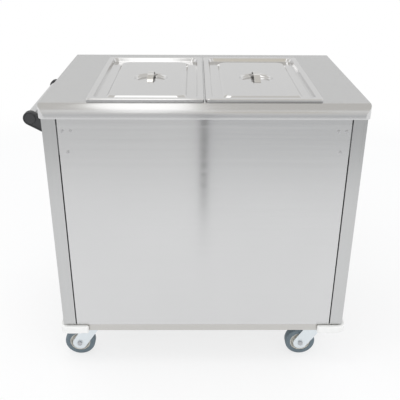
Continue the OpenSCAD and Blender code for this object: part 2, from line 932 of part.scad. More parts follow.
// A flat serpentine of tube with four runs along X, its two ends turned towards +Y
module serpentine(run_x, y0) {
    bend = element_pitch / 2;
    for (k = [0:3])
        translate([-run_x, y0 + k * element_pitch, 0])
            rotate([0, 90, 0])
                cylinder(r = element_r, h = 2 * run_x);
    for (k = [0:2])
        translate([k % 2 == 0 ? run_x : -run_x, y0 + (k + 0.5) * element_pitch, 0])
            rotate([0, 0, k % 2 == 0 ? -90 : 90])
                rotate_extrude(angle = 180)
                    translate([bend, 0])
                        circle(element_r);
    // Cold ends: one quarter bend and one straight lead
    for (k = [0, 3])
        translate([-run_x - bend / 2, y0 + k * element_pitch, 0]) {
            translate([bend / 2, bend / 2, 0])
                rotate([0, 0, 180])
                    rotate_extrude(angle = 90)
                        translate([bend / 2, 0])
                            circle(element_r);
            translate([0, bend / 2, 0])
                rod_y(element_r, 0, (3 - k) * element_pitch + cold_lead);
        }
}

module well_element() {
    color("dimgray")
        translate([0, pan_y, tank_z - sheet_t - element_gap - element_r])
            serpentine(tank_x - well_element_in, -1.5 * element_pitch);
}

// --- Hot cupboard ---

module cupboard_liner() {
    color("gainsboro")
        difference() {
            union() {
                box([-liner_x - sheet_t, liner_back, liner_z - sheet_t],
                    [liner_x + sheet_t, liner_y1, liner_top + sheet_t]);
                box([-flange_x, liner_y0, flange_z], [flange_x, liner_y1, flange_top]);
            }
            box([-liner_x, liner_back + sheet_t, liner_z], [liner_x, liner_y1 + eps, liner_top]);
            for (s = [-1, 1])
                on_side(s)
                    box([catch_x - fit_gap, liner_y0 - eps, catch_z - fit_gap],
                        [catch_x + catch_w + fit_gap, liner_y1 + eps, catch_z + catch_h + fit_gap]);
        }
}

module cupboard_element() {
    color("dimgray")
        translate([0, 0, liner_z - sheet_t - element_gap - element_r])
            serpentine(liner_x - cupboard_element_in, -1.5 * element_pitch);
}

// An angle strip along each side wall
module shelf_supports() {
    y0 = liner_back + 2 * sheet_t;
    y1 = liner_y0 - 10;
    color("silver")
        for (s = [-1, 1])
            on_side(s) {
                box([liner_x - support_w, y0, shelf_z - sheet_t], [liner_x, y1, shelf_z]);
                box([liner_x - sheet_t, y0, shelf_z - support_w], [liner_x, y1, shelf_z]);
            }
}

// Shelf tray with turned-down front and rear edges and rows of warm-air slots
module shelf() {
    shelf_x = liner_x - 2;
    lip_x = shelf_x - support_w - 2;
    y0 = liner_back + 10;
    y1 = liner_y0 - 14;
    slot_l = 70;
    slot_r = 5;
    slot_pitch = [100, 95];
    color("lightgray")
        difference() {
            union() {
                box([-shelf_x, y0, shelf_z], [shelf_x, y1, shelf_z + sheet_t]);
                for (y = [y0, y1 - sheet_t])
                    box([-lip_x, y, shelf_z - shelf_lip], [lip_x, y + sheet_t, shelf_z + sheet_t]);
            }
            for (i = [-3:3], j = [-2:2])
                translate([i * slot_pitch[0], (y0 + y1) / 2 + j * slot_pitch[1], shelf_z - eps])
                    linear_extrude(sheet_t + 2 * eps) {
                        square([slot_l - 2 * slot_r, 2 * slot_r], center = true);
                        for (s = [-1, 1])
                            translate([s * (slot_l / 2 - slot_r), 0])
                                circle(slot_r);
                    }
        }
}

// Magnet blocks in the liner's face that hold the doors shut
module magnetic_catches() {
    color("ivory")
        for (s = [-1, 1])
            on_side(s)
                box([catch_x, door_y - run_gap - catch_deep, catch_z],
                    [catch_x + catch_w, door_y - run_gap, catch_z + catch_h]);
}

// Outer tray of a door, open towards the cupboard
module door_outer(s) {
    color("lightgray")
        on_side(s)
            difference() {
                box([door_x0, door_y + sheet_t, door_z0], [door_x1, body_y, door_z1]);
                box([door_x0 + sheet_t, door_y, door_z0 + sheet_t],
                    [door_x1 - sheet_t, body_y - sheet_t, door_z1 - sheet_t]);
            }
}

// Inner skin that closes the door tray
module door_inner(s) {
    fold_y = door_y + 12;
    color("silver")
        on_side(s)
            difference() {
                union() {
                    box([door_x0, door_y, door_z0], [door_x1, door_y + sheet_t, door_z1]);
                    box([door_x0 + 2 * sheet_t, door_y, door_z0 + 2 * sheet_t],
                        [door_x1 - 2 * sheet_t, fold_y, door_z1 - 2 * sheet_t]);
                }
                box([door_x0 + 3 * sheet_t, door_y + sheet_t, door_z0 + 3 * sheet_t],
                    [door_x1 - 3 * sheet_t, fold_y + eps, door_z1 - 3 * sheet_t]);
            }
}

// Upright bar handle on two posts near the free edge of a door
module door_handle(s) {
    post_in = 16;
    color("lightgray")
        on_side(s)
            translate([door_x0 + pull_x, body_y, pull_z]) {
                translate([0, pull_out, -pull_len / 2])
                    cylinder(d = pull_d, h = pull_len);
                for (z = [-1, 1])
                    translate([0, 0, z * (pull_len / 2 - post_in)])
                        rod_y(post_r, 0, pull_out);
            }
}

// Positions of the two hinges of a door, drawn for +X
module at_hinges() {
    for (z = [door_z0 + hinge_in, door_z1 - hinge_in])
        translate([hinge_x, hinge_y, z])
            children();
}

// Moving leaves: plate on the door's face and the upper knuckle
module door_hinge(s) {
    drop = body_y - hinge_y;
    half = hinge_h / 2;
    color("silver")
        on_side(s)
            at_hinges()
                difference() {
                    union() {
                        box([-leaf_w - door_leaf_in, drop, -half],
                            [-door_leaf_in, drop + leaf_t, half]);
                        box([-door_leaf_in - 2 * lap, drop, run_gap / 2],
                            [0, drop + leaf_t + lap, half]);
                        translate([0, 0, run_gap / 2])
                            cylinder(r = knuckle_r, h = half - run_gap / 2);
                    }
                    translate([0, 0, -eps])
                        cylinder(r = hinge_pin_r + pin_gap, h = half + 2 * eps);
                }
}

// Fixed leaves: plate on the jamb, lower knuckle and the pin that stands up from it
module hinge_leaves() {
    drop = body_y - hinge_y;
    half = hinge_h / 2;
    color("silver")
        for (s = [-1, 1])
            on_side(s)
                at_hinges() {
                    box([jamb_leaf_in, drop, -half], [jamb_leaf_in + leaf_w, drop + leaf_t, half]);
                    box([0, drop, -half], [jamb_leaf_in + lap, drop + leaf_t + lap, -run_gap / 2]);
                    translate([0, 0, -half])
                        cylinder(r = knuckle_r, h = half - run_gap / 2);
                    translate([0, 0, -half])
                        cylinder(r = hinge_pin_r, h = hinge_h - leaf_t);
                }
}

// --- Controls ---

// Fascia above the doors, with its holes and folded edges
module control_panel() {
    outer = panel_y;
    inner = panel_y - sheet_t;
    x1 = jamb_x - run_gap;
    color("gainsboro")
        difference() {
            union() {
                box([-x1, inner, control_z0], [x1, outer, wrap_top]);
                for (z = [control_z0, wrap_top - sheet_t])
                    box([-x1, inner - fold_d, z], [x1, outer, z + sheet_t]);
            }
            for (x = knob_x)
                translate([x, 0, control_z])
                    rod_y(shaft_r + 1, inner - eps, outer + eps);
            translate([switch_x, 0, control_z])
                box([-switch_w / 2 - fit_gap, inner - eps, -switch_h / 2 - fit_gap],
                    [switch_w / 2 + fit_gap, outer + eps, switch_h / 2 + fit_gap]);
            translate([lamp_x, 0, control_z])
                rod_y(lamp_stem_r + bolt_gap, inner - eps, outer + eps);
        }
}

// Two thermostats behind the fascia, each with its shaft
module thermostats() {
    back = panel_y - sheet_t;
    color("dimgray")
        for (x = knob_x)
            translate([x, 0, control_z]) {
                box([-thermostat_w / 2, back - thermostat_d, -thermostat_w / 2],
                    [thermostat_w / 2, back, thermostat_w / 2]);
                rod_y(shaft_r, back - eps, panel_y + knob_gap + knob_bore_h - shaft_short);
            }
}

// Round knob with a raised grip bar, turning on the thermostat shaft
module knob(x) {
    skirt_h = 5;
    body_r = knob_d / 2 - 5;
    bar_t = 7;
    bar_z = knob_d / 2 - 3;
    color("black")
        translate([x, panel_y + knob_gap, control_z])
            difference() {
                union() {
                    rod_y(knob_d / 2, 0, skirt_h);
                    rod_y(body_r, 0, knob_h - 6);
                    box([-bar_t / 2, 0, -bar_z], [bar_t / 2, knob_h, bar_z]);
                }
                rod_y(shaft_r + pin_gap, -eps, knob_bore_h);
            }
}

// Housing of the mains switch, with its bezel and the pocket for the rocker
module switch_body() {
    bezel_w = 3;
    pocket_d = 5;
    pocket_z = switch_h / 2 - 2;
    pin_x = switch_w / 2 - 0.6;
    color("black")
        translate([switch_x, 0, control_z])
            difference() {
                union() {
                    box([-switch_w / 2 - bezel_w, panel_y, -switch_h / 2 - bezel_w],
                        [switch_w / 2 + bezel_w, panel_y + bezel_t, switch_h / 2 + bezel_w]);
                    box([-switch_w / 2, panel_y - switch_deep, -switch_h / 2],
                        [switch_w / 2, panel_y + eps, switch_h / 2]);
                }
                box([-rocker_w / 2 - run_gap, rocker_y - pocket_d, -pocket_z],
                    [rocker_w / 2 + run_gap, panel_y + bezel_t + eps, pocket_z]);
                translate([-pin_x, rocker_y, 0])
                    rotate([0, 90, 0])
                        cylinder(r = rocker_pin_r + pin_gap, h = 2 * pin_x);
            }
}

// Rocker, tilted to off at rest
module rocker() {
    root = 3;
    waist = 4.5;
    lobe = 6;
    pin_x = switch_w / 2 - 1;
    color("crimson")
        translate([switch_x, rocker_y, control_z])
            rotate([rocker_tilt, 0, 0]) {
                translate([-rocker_w / 2, 0, 0])
                    rotate([90, 0, 90])
                        linear_extrude(rocker_w)
                            polygon([
                                [-root, -rocker_end], [lobe, -rocker_end], [waist, 0],
                                [lobe, rocker_end], [-root, rocker_end]
                            ]);
                translate([-pin_x, 0, 0])
                    rotate([0, 90, 0])
                        cylinder(r = rocker_pin_r, h = 2 * pin_x);
            }
}

// Round lamp: stem through the fascia, bezel ring and lens
module indicator_lamp() {
    stem_l = 22;
    bezel_h = 2;
    lens_r = lamp_d / 2 - 1.5;
    lens_h = 5;
    color("orange")
        translate([lamp_x, 0, control_z]) {
            rod_y(lamp_stem_r, panel_y - stem_l, panel_y + 1);
            rod_y(lamp_d / 2, panel_y, panel_y + bezel_h);
            rod_y(lens_r, panel_y, panel_y + lens_h);
        }
}

// --- Pans and lids ---

module at_pan(s) {
    translate([s * pan_x, pan_y, 0])
        children();
}

// Deep pan with a turned rim that rests on the worktop
module pan(s) {
    color("silver")
        at_pan(s)
            difference() {
                union() {
                    translate([0, 0, pan_top - pan_depth])
                        linear_extrude(pan_depth)
                            round_rect(well_w, well_d, well_r);
                    translate([0, 0, pan_top - pan_t])
                        linear_extrude(pan_t)
                            round_rect(pan_w, pan_d, pan_r);
                    translate([0, 0, pan_top - rim_h])
                        rect_ring(pan_w, pan_d, pan_r, pan_t, rim_h);
                }
                translate([0, 0, pan_top - pan_depth + pan_t])
                    linear_extrude(pan_depth)
                        round_rect(well_w - 2 * pan_t, well_d - 2 * pan_t, well_r - pan_t);
            }
}

// Pressed lid: flange with a turned edge, sunken band, raised middle and finger dish
module lid(s) {
    recess_r = 18;
    raised_r = 24;
    low_z = lid_z - lid_drop - pan_t;
    color("silver")
        at_pan(s)
            difference() {
                union() {
                    translate([0, 0, lid_z - lid_edge])
                        rect_ring(pan_w, pan_d, pan_r, pan_t, lid_edge);
                    translate([0, 0, lid_z - pan_t])
                        linear_extrude(pan_t)
                            round_rect(pan_w, pan_d, pan_r);
                    translate([0, 0, low_z])
                        linear_extrude(lid_z - low_z)
                            round_rect(recess_w, recess_d, recess_r);
                    translate([0, 0, raised_z - dish_depth - pan_t])
                        cylinder(r = dish_r + pan_t, h = dish_depth + pan_t);
                }
                difference() {
                    translate([0, 0, low_z + pan_t])
                        linear_extrude(lid_drop + eps)
                            round_rect(recess_w - 2 * pan_t, recess_d - 2 * pan_t,
                                       recess_r - pan_t);
                    translate([0, 0, low_z])
                        linear_extrude(raised_z - low_z)
                            round_rect(raised_w, raised_d, raised_r);
                }
                // Underside of the raised middle, round the dish
                difference() {
                    translate([0, 0, low_z - eps])
                        linear_extrude(lid_raise + eps)
                            round_rect(raised_w - 2 * pan_t, raised_d - 2 * pan_t,
                                       raised_r - pan_t);
                    translate([0, 0, raised_z - dish_depth - pan_t])
                        cylinder(r = dish_r + pan_t, h = dish_depth + pan_t);
                }
                translate([0, 0, raised_z - dish_depth])
                    cylinder(r = dish_r, h = dish_depth + lid_drop);
            }
}

// Arched strap that bridges the finger dish along Y
module lid_handle(s) {
    color("silver")
        at_pan(s)
            translate([-strap_w / 2, 0, raised_z])
                rotate([90, 0, 90])
                    linear_extrude(strap_w)
                        intersection() {
                            translate([0, strap_rise - strap_R])
                                difference() {
                                    circle(strap_R, $fn = 128);
                                    circle(strap_R - strap_t, $fn = 128);
                                }
                            translate([-strap_half, 0])
                                square([2 * strap_half, strap_rise + 1]);
                        }
}

// --- Push handle ---

// Steel tube between the two brackets
module handle_tube() {
    half = handle_len / 2 - tube_end;
    color("silver")
        translate([-tube_x, 0, tube_z])
            difference() {
                rod_y(tube_r, -half, half);
                rod_y(tube_r - tube_t, -half - eps, half + eps);
            }
}

// Outline of a bracket: a round socket for the tube, drawn out to its foot on the side panel
module bracket_outline() {
    c = [-tube_x, tube_z];
    hi = [-body_x, tube_z - foot_hi];
    lo = [-body_x, tube_z - foot_lo];
    polygon([hi, tangent(c, bracket_r, hi, 1), c, tangent(c, bracket_r, lo, -1), lo]);
    translate(c)
        circle(bracket_r);
}

module handle_brackets() {
    color("black")
        for (s = [-1, 1])
            mirror([0, s < 0 ? 1 : 0, 0])
                difference() {
                    extrude_y(handle_len / 2 - bracket_len, handle_len / 2)
                        bracket_outline();
                    translate([-tube_x, 0, tube_z])
                        rod_y(tube_r + pin_gap, handle_len / 2 - bracket_len - eps,
                              handle_len / 2 - tube_end + fit_gap);
                    for (z = foot_screws())
                        translate([-body_x - foot_bore, (handle_len - bracket_len) / 2, z])
                            rotate([0, 90, 0])
                                cylinder(r = screw_r + pin_gap, h = foot_bore + lap);
                }
}

// --- Drawing ---

placed() chassis_frame();
placed() corner_bumpers();
placed() castor_plates();
placed() castor_bolts();
for (i = [0:3]) {
    placed() castor_fork(i);
    placed() castor_axle(i);
    placed() wheel_centre(i);
    placed() tyre(i);
}
placed() base_pan();
placed() cable_gland();
placed() side_panel_left();
placed() side_panel_right();
placed() back_panel();
placed() body_screws();
placed() worktop();
placed() well_tank();
placed() well_element();
placed() cupboard_liner();
placed() cupboard_element();
placed() shelf_supports();
placed() shelf();
placed() magnetic_catches();
placed() hinge_leaves();
placed() control_panel();
placed() thermostats();
placed() knob(knob_x[0]);  // knob_well
placed() knob(knob_x[1]);  // knob_cupboard
placed() switch_body();
placed() rocker();
placed() indicator_lamp();
placed() handle_tube();
placed() handle_brackets();
for (k = [0, 1]) {
    s = 2 * k - 1;
    placed() brake_pedal(k + 2);
    placed() door_outer(s);
    placed() door_inner(s);
    placed() door_handle(s);
    placed() door_hinge(s);
    placed() pan(s);
    placed() lid(s);
    placed() lid_handle(s);
}
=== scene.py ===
import json
import math

import bmesh
import bpy
from mathutils import Matrix, Vector


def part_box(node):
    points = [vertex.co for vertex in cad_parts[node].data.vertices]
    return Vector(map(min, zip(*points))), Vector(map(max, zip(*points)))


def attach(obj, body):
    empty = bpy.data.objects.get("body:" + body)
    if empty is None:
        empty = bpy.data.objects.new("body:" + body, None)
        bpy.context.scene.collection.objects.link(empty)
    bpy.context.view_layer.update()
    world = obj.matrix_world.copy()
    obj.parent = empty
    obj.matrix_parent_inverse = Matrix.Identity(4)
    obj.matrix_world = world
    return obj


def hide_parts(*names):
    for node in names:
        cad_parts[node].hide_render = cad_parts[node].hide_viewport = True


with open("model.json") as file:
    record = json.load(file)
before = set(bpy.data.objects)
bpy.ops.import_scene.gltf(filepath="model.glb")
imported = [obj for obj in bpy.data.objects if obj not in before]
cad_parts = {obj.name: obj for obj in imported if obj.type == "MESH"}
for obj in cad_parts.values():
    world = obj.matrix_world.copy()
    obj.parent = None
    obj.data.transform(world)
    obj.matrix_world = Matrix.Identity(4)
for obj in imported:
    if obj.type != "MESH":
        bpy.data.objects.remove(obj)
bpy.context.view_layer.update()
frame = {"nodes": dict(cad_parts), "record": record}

# --- Studio ---
# The camera stands where the photograph was taken. Floor and world are white, two soft lamps light
# the trolley, and cards that only mirror-like surfaces see give the steel its reflections.

mm = 0.001
scene = bpy.context.scene
scene.view_settings.view_transform = "Standard"

camera_place = Vector((9.5, -1914.9, 1369.0)) * mm
camera_pitch = math.radians(25.54)
camera_yaw = math.radians(0.57)
camera_roll = math.radians(0.30)
camera = bpy.data.objects.new("camera", bpy.data.cameras.new("camera"))
camera.data.sensor_width = 36.0
camera.data.lens = 54.13
camera.matrix_world = (
    Matrix.Translation(camera_place)
    @ Matrix.Rotation(-camera_yaw, 4, "Z")
    @ Matrix.Rotation(math.pi / 2 - camera_pitch, 4, "X")
    @ Matrix.Rotation(camera_roll, 4, "Z")
)
scene.collection.objects.link(camera)
scene.camera = camera


def node(tree, kind, settings=None, inputs=None):
    """Adds a node. An input's value is a plain value, or another node's socket to link."""
    made = tree.nodes.new(kind)
    for name, value in (settings or {}).items():
        setattr(made, name, value)
    for name, value in (inputs or {}).items():
        if isinstance(value, bpy.types.NodeSocket):
            tree.links.new(value, made.inputs[name])
        else:
            made.inputs[name].default_value = value
    return made


def seen_by_reflections(tree):
    """1 for rays from the camera and for those that steel and glass send on."""
    path = node(tree, "ShaderNodeLightPath").outputs
    first = node(tree, "ShaderNodeMath", {"operation": "MAXIMUM"},
                 {0: path["Is Camera Ray"], 1: path["Is Glossy Ray"]})
    return node(tree, "ShaderNodeMath", {"operation": "MAXIMUM"},
                {0: first.outputs[0], 1: path["Is Transmission Ray"]}).outputs[0]


room_light = (0.84, 0.845, 0.855, 1)
scene.world = bpy.data.worlds.new("studio")
scene.world.use_nodes = True
tree = scene.world.node_tree
tree.nodes.clear()
room = node(tree, "ShaderNodeBackground", None, {"Color": room_light, "Strength": 1.1})
white = node(tree, "ShaderNodeBackground", None, {"Color": (1, 1, 1, 1), "Strength": 1.0})
both = node(tree, "ShaderNodeMixShader", None,
            {0: seen_by_reflections(tree), 1: room.outputs[0], 2: white.outputs[0]})
node(tree, "ShaderNodeOutputWorld", None, {"Surface": both.outputs[0]})


def flat_sheet(name, centre, across, up, material):
    """A rectangle given by its middle and its two half sides."""
    mesh = bpy.data.meshes.new(name)
    corners = [centre + s * across + t * up for s, t in ((-1, -1), (1, -1), (1, 1), (-1, 1))]
    mesh.from_pydata(corners, [], [(0, 1, 2, 3)])
    mesh.materials.append(material)
    made = bpy.data.objects.new(name, mesh)
    scene.collection.objects.link(made)
    return made


def new_material(name):
    material = bpy.data.materials.new(name)
    material.use_nodes = True
    return material, material.node_tree, material.node_tree.nodes["Principled BSDF"]


# Near the trolley the floor is a matt white that takes its shadow. Further off it goes over
# into plain white, so that it has no edge.
floor_half = 30.0
shadow_near = 1.0
shadow_far = 3.0
floor_lift = 0.72
floor_paint, tree, shader = new_material("floor_white")
shader.inputs["Base Color"].default_value = (0.96, 0.96, 0.96, 1)
shader.inputs["Roughness"].default_value = 1.0
shader.inputs["Specular IOR Level"].default_value = 0.0
place = node(tree, "ShaderNodeTexCoord").outputs["Object"]
distance = node(tree, "ShaderNodeVectorMath", {"operation": "LENGTH"}, {0: place})
fade = node(tree, "ShaderNodeMapRange", {"interpolation_type": "SMOOTHSTEP"},
            {"Value": distance.outputs["Value"], "From Min": shadow_near, "From Max": shadow_far})
lifted = node(tree, "ShaderNodeMath", {"operation": "MAXIMUM"},
              {0: fade.outputs["Result"], 1: floor_lift})
plain = node(tree, "ShaderNodeEmission", None, {"Color": (1, 1, 1, 1), "Strength": 1.0})
far = node(tree, "ShaderNodeMath", {"operation": "MULTIPLY"},
           {0: lifted.outputs[0], 1: seen_by_reflections(tree)})
both = node(tree, "ShaderNodeMixShader", None,
            {0: far.outputs[0], 1: shader.outputs[0], 2: plain.outputs[0]})
tree.links.new(both.outputs[0], tree.nodes["Material Output"].inputs["Surface"])
flat_sheet("floor", Vector((0, 0, 0)), Vector((floor_half, 0, 0)), Vector((0, floor_half, 0)),
           floor_paint)


def studio_card(name, centre, half_width, half_height, colour, overhead=False):
    """A card that only mirror-like surfaces see, upright across the view or level overhead."""
    material, tree, shader = new_material(name)
    glow = node(tree, "ShaderNodeEmission", None, {"Color": (*colour, 1), "Strength": 1.0})
    tree.links.new(glow.outputs[0], tree.nodes["Material Output"].inputs["Surface"])
    up = Vector((0, half_height, 0)) if overhead else Vector((0, 0, half_height))
    card = flat_sheet(name, Vector(centre), Vector((half_width, 0, 0)), up, material)
    card.visible_camera = False
    card.visible_diffuse = False
    card.visible_transmission = False
    card.visible_shadow = False


studio_card("ceiling_card", (0.3, 0.1, 2.9), 3.2, 2.6, (0.70, 0.685, 0.655), overhead=True)
studio_card("overhead_card", (-0.27, -0.60, 2.35), 0.27, 1.3, (1.62, 1.61, 1.59), overhead=True)
studio_card("rear_wall", (0.0, 3.3, 1.3), 4.0, 1.3, (0.76, 0.76, 0.755))
studio_card("front_wall", (0.0, -3.5, 0.72), 4.0, 0.72, (0.68, 0.685, 0.69))
studio_card("front_upper", (0.0, -3.5, 2.2), 4.0, 0.76, (0.78, 0.775, 0.76))
studio_card("front_window", (-0.42, -3.45, 2.75), 0.26, 0.45, (1.55, 1.55, 1.53))
studio_card("front_cream", (0.65, -3.45, 2.75), 0.55, 0.45, (0.72, 0.68, 0.60))
studio_card("near_left", (-0.955, -2.1, 0.29), 1.0, 0.29, (0.70, 0.70, 0.70))
studio_card("near_right", (1.045, -2.1, 0.29), 1.0, 0.29, (0.60, 0.605, 0.61))
studio_card("camera_stand", (0.056, -1.6, 0.6), 0.017, 0.6, (0.17, 0.17, 0.172))


def studio_lamp(name, place, aim, width, depth, power):
    """A wide soft lamp at place, turned towards aim. Steel reflects the cards instead of it."""
    data = bpy.data.lights.new(name, "AREA")
    data.shape = "RECTANGLE"
    data.size = width
    data.size_y = depth
    data.energy = power
    lamp = bpy.data.objects.new(name, data)
    lamp.location = place
    lamp.rotation_euler = (Vector(aim) - Vector(place)).to_track_quat("-Z", "Y").to_euler()
    lamp.visible_glossy = False
    scene.collection.objects.link(lamp)


studio_lamp("overhead_lamp", (-0.36, -0.62, 2.35), (-0.30, -0.45, 0.9), 0.72, 1.10, 9.0)
studio_lamp("fill_lamp", (1.8, -2.6, 1.6), (0, 0, 0.5), 1.2, 1.2, 5.0)

# --- Chassis ---
# A ring of stainless box section, mitred and welded at the corners, with a 3 mm plate let into
# each corner for the castor. Everything else on the trolley stands on it or hangs from it.

body_of_node = {
    name: body
    for body, names in frame["record"]["behaviour"]["bodies"].items()
    for name in names
}


def new_group(name, inputs):
    """An empty shader group that is to put out a surface's colour, roughness and height."""
    group = bpy.data.node_groups.new(name, "ShaderNodeTree")
    for label, kind, value in inputs:
        made = group.interface.new_socket(label, in_out="INPUT", socket_type=kind)
        made.default_value = value
    for label, kind in (("Colour", "NodeSocketColor"), ("Roughness", "NodeSocketFloat"),
                        ("Height", "NodeSocketFloat")):
        group.interface.new_socket(label, in_out="OUTPUT", socket_type=kind)
    return group, group.nodes.new("NodeGroupInput").outputs, group.nodes.new("NodeGroupOutput")


def blend_values(tree, a, b, operation):
    return node(tree, "ShaderNodeMath", {"operation": operation}, {0: a, 1: b}).outputs[0]


def toned(tree, colour, tone):
    """A colour made lighter or darker by a tone round 0."""
    return node(tree, "ShaderNodeVectorMath", {"operation": "SCALE"},
                {0: colour, "Scale": blend_values(tree, tone, 1.0, "ADD")}).outputs[0]


# Brushing leaves fine streaks along one direction, a few broader ones, and a faint cloudiness.
# Grain is the number of streaks per metre along each axis.
brushing, given, made = new_group(
    "brushing",
    [
        ("Position", "NodeSocketVector", (0, 0, 0)),
        ("Grain", "NodeSocketVector", (1, 1, 1)),
        ("Colour", "NodeSocketColor", (0.6, 0.6, 0.6, 1)),
        ("Roughness", "NodeSocketFloat", 0.3),
        ("Streaks", "NodeSocketFloat", 0.06),
        ("Clouds", "NodeSocketFloat", 0.03),
    ],
)
stretched = node(brushing, "ShaderNodeVectorMath", {"operation": "MULTIPLY"},
                 {0: given["Position"], 1: given["Grain"]})
fine = node(brushing, "ShaderNodeTexNoise", None,
            {"Vector": stretched.outputs[0], "Scale": 1.0, "Detail": 3.0, "Roughness": 0.6})
broad = node(brushing, "ShaderNodeTexNoise", None,
             {"Vector": stretched.outputs[0], "Scale": 0.07, "Detail": 2.0})
cloud = node(brushing, "ShaderNodeTexNoise", None,
             {"Vector": given["Position"], "Scale": 4.0, "Detail": 2.0})
grain = blend_values(brushing, fine.outputs[0], broad.outputs[0], "ADD")
grain_tone = blend_values(brushing, grain, 1.0, "SUBTRACT")
cloud_tone = blend_values(brushing, cloud.outputs[0], 0.5, "SUBTRACT")
tone = blend_values(
    brushing,
    blend_values(brushing, grain_tone, given["Streaks"], "MULTIPLY"),
    blend_values(brushing, cloud_tone, given["Clouds"], "MULTIPLY"),
    "ADD",
)
spread = blend_values(brushing, grain_tone, 0.10, "MULTIPLY")
rough = blend_values(brushing, given["Roughness"], spread, "ADD")
brushing.links.new(toned(brushing, given["Colour"], tone), made.inputs["Colour"])
brushing.links.new(rough, made.inputs["Roughness"])
brushing.links.new(fine.outputs[0], made.inputs["Height"])


def grained_material(name, group, values, relief):
    """A material with the colour, roughness and relief that a shader group puts out."""
    material, tree, shader = new_material(name)
    place = node(tree, "ShaderNodeTexCoord").outputs["Object"]
    skin = node(tree, "ShaderNodeGroup", {"node_tree": group}, {"Position": place, **values}).outputs
    bump = node(tree, "ShaderNodeBump", None,
                {"Strength": 0.5, "Distance": relief, "Height": skin["Height"]})
    tree.links.new(skin["Colour"], shader.inputs["Base Color"])
    tree.links.new(skin["Roughness"], shader.inputs["Roughness"])
    tree.links.new(bump.outputs[0], shader.inputs["Normal"])
    return material, tree, shader


streaks_along = 3.0
streaks_across = 900.0


def steel(name, colour, roughness, grain, anisotropy=0.6, streaks=0.07, clouds=0.04, relief=0.00002):
    """Stainless sheet brushed along the axis grain, which is X, Y or Z."""
    along = tuple(streaks_along if axis == grain else streaks_across for axis in "XYZ")
    material, tree, shader = grained_material(name, brushing, {
        "Grain": along, "Colour": (*colour, 1), "Roughness": roughness, "Streaks": streaks,
        "Clouds": clouds,
    }, relief)
    turn = node(tree, "ShaderNodeTangent", {"direction_type": "RADIAL", "axis": grain})
    tree.links.new(turn.outputs[0], shader.inputs["Tangent"])
    shader.inputs["Metallic"].default_value = 1.0
    shader.inputs["Anisotropic"].default_value = anisotropy
    return material


def piece_from(form, name, material, *stands_for, body=None, slot=None, turn_outwards=True):
    """Makes a form a piece. Its body is that of the first CAD node that it stands for, unless body is
    given. The slot argument is not used.
    """
    mesh = bpy.data.meshes.new(name)
    bmesh.ops.remove_doubles(form, verts=form.verts, dist=0.002 * mm)
    if turn_outwards:
        bmesh.ops.recalc_face_normals(form, faces=form.faces)
    for face in form.faces:
        face.smooth = True
    form.to_mesh(mesh)
    form.free()
    mesh.materials.append(material)
    piece = bpy.data.objects.new(name, mesh)
    scene.collection.objects.link(piece)
    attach(piece, body or body_of_node[stands_for[0]])
    if stands_for:
        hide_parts(*stands_for)
    return piece


def even_shading(piece):
    """Keeps the shading of flat faces flat up to the small round ones beside them."""
    even = piece.modifiers.new("even_shading", "WEIGHTED_NORMAL")
    even.keep_sharp = False
    even.weight = 80
    return piece


def round_edges(piece, width, steps=2, from_angle=35):
    """Rounds the sharp edges by width."""
    bevel = piece.modifiers.new("rounded", "BEVEL")
    bevel.width = width
    bevel.segments = steps
    bevel.limit_method = "ANGLE"
    bevel.angle_limit = math.radians(from_angle)
    bevel.miter_outer = "MITER_ARC"
    return even_shading(piece)


def finished(name, material, edge, steps=2, whole_flats=False):
    """A CAD node's own mesh with rounded edges. With whole_flats, each flat is one face."""
    form = bmesh.new()
    form.from_mesh(frame["nodes"][name].data)
    if whole_flats:
        bmesh.ops.remove_doubles(form, verts=form.verts, dist=0.005 * mm)
        bmesh.ops.dissolve_limit(form, angle_limit=math.radians(0.3), verts=form.verts,
                                 edges=form.edges)
    piece = piece_from(form, name + "_finished", material, name, turn_outwards=False)
    return round_edges(piece, edge, steps)


satin_frame = steel("satin_frame", (0.60, 0.59, 0.57), 0.34, "X")
finished("chassis_frame", satin_frame, 1.2 * mm)

# --- Corner bumpers ---
# Four white mouldings, each a rim round a corner of the chassis on a pad that is clamped between
# the chassis and a castor's plate. Every edge of the moulding is soft.


def corners_of(name):
    """The lowest and the highest corner of a CAD node."""
    return tuple(Vector(corner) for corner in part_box(name))


def rounded_path(corners, closed=False, steps=4):
    """A path through corners (a, b, radius), each turned by its radius."""
    points = []
    for number, (a, b, radius) in enumerate(corners):
        here = Vector((a, b))
        if radius == 0 or (not closed and number in (0, len(corners) - 1)):
            points.append(here)
            continue
        back = Vector(corners[number - 1][:2]) - here
        ahead = Vector(corners[(number + 1) % len(corners)][:2]) - here
        reach = radius / math.tan(back.angle(ahead) / 2)
        start = here + reach * back.normalized()
        end = here + reach * ahead.normalized()
        for step in range(steps + 1):
            t = step / steps
            points.append((1 - t) ** 2 * start + 2 * t * (1 - t) * here + t ** 2 * end)
    return points


def rectangle_outline(half_x, half_y, radius, steps=8):
    """A rectangle round the origin with round corners, counter-clockwise."""
    outline = []
    for turn, (sx, sy) in enumerate(((1, 1), (-1, 1), (-1, -1), (1, -1))):
        centre = Vector((sx * (half_x - radius), sy * (half_y - radius)))
        for step in range(steps + 1):
            angle = (turn + step / steps) * math.pi / 2
            outline.append(centre + radius * Vector((math.cos(angle), math.sin(angle))))
    return outline


def moved(outline, x, y):
    """An outline shifted in its own plane."""
    return [Vector((point.x + x, point.y + y)) for point in outline]


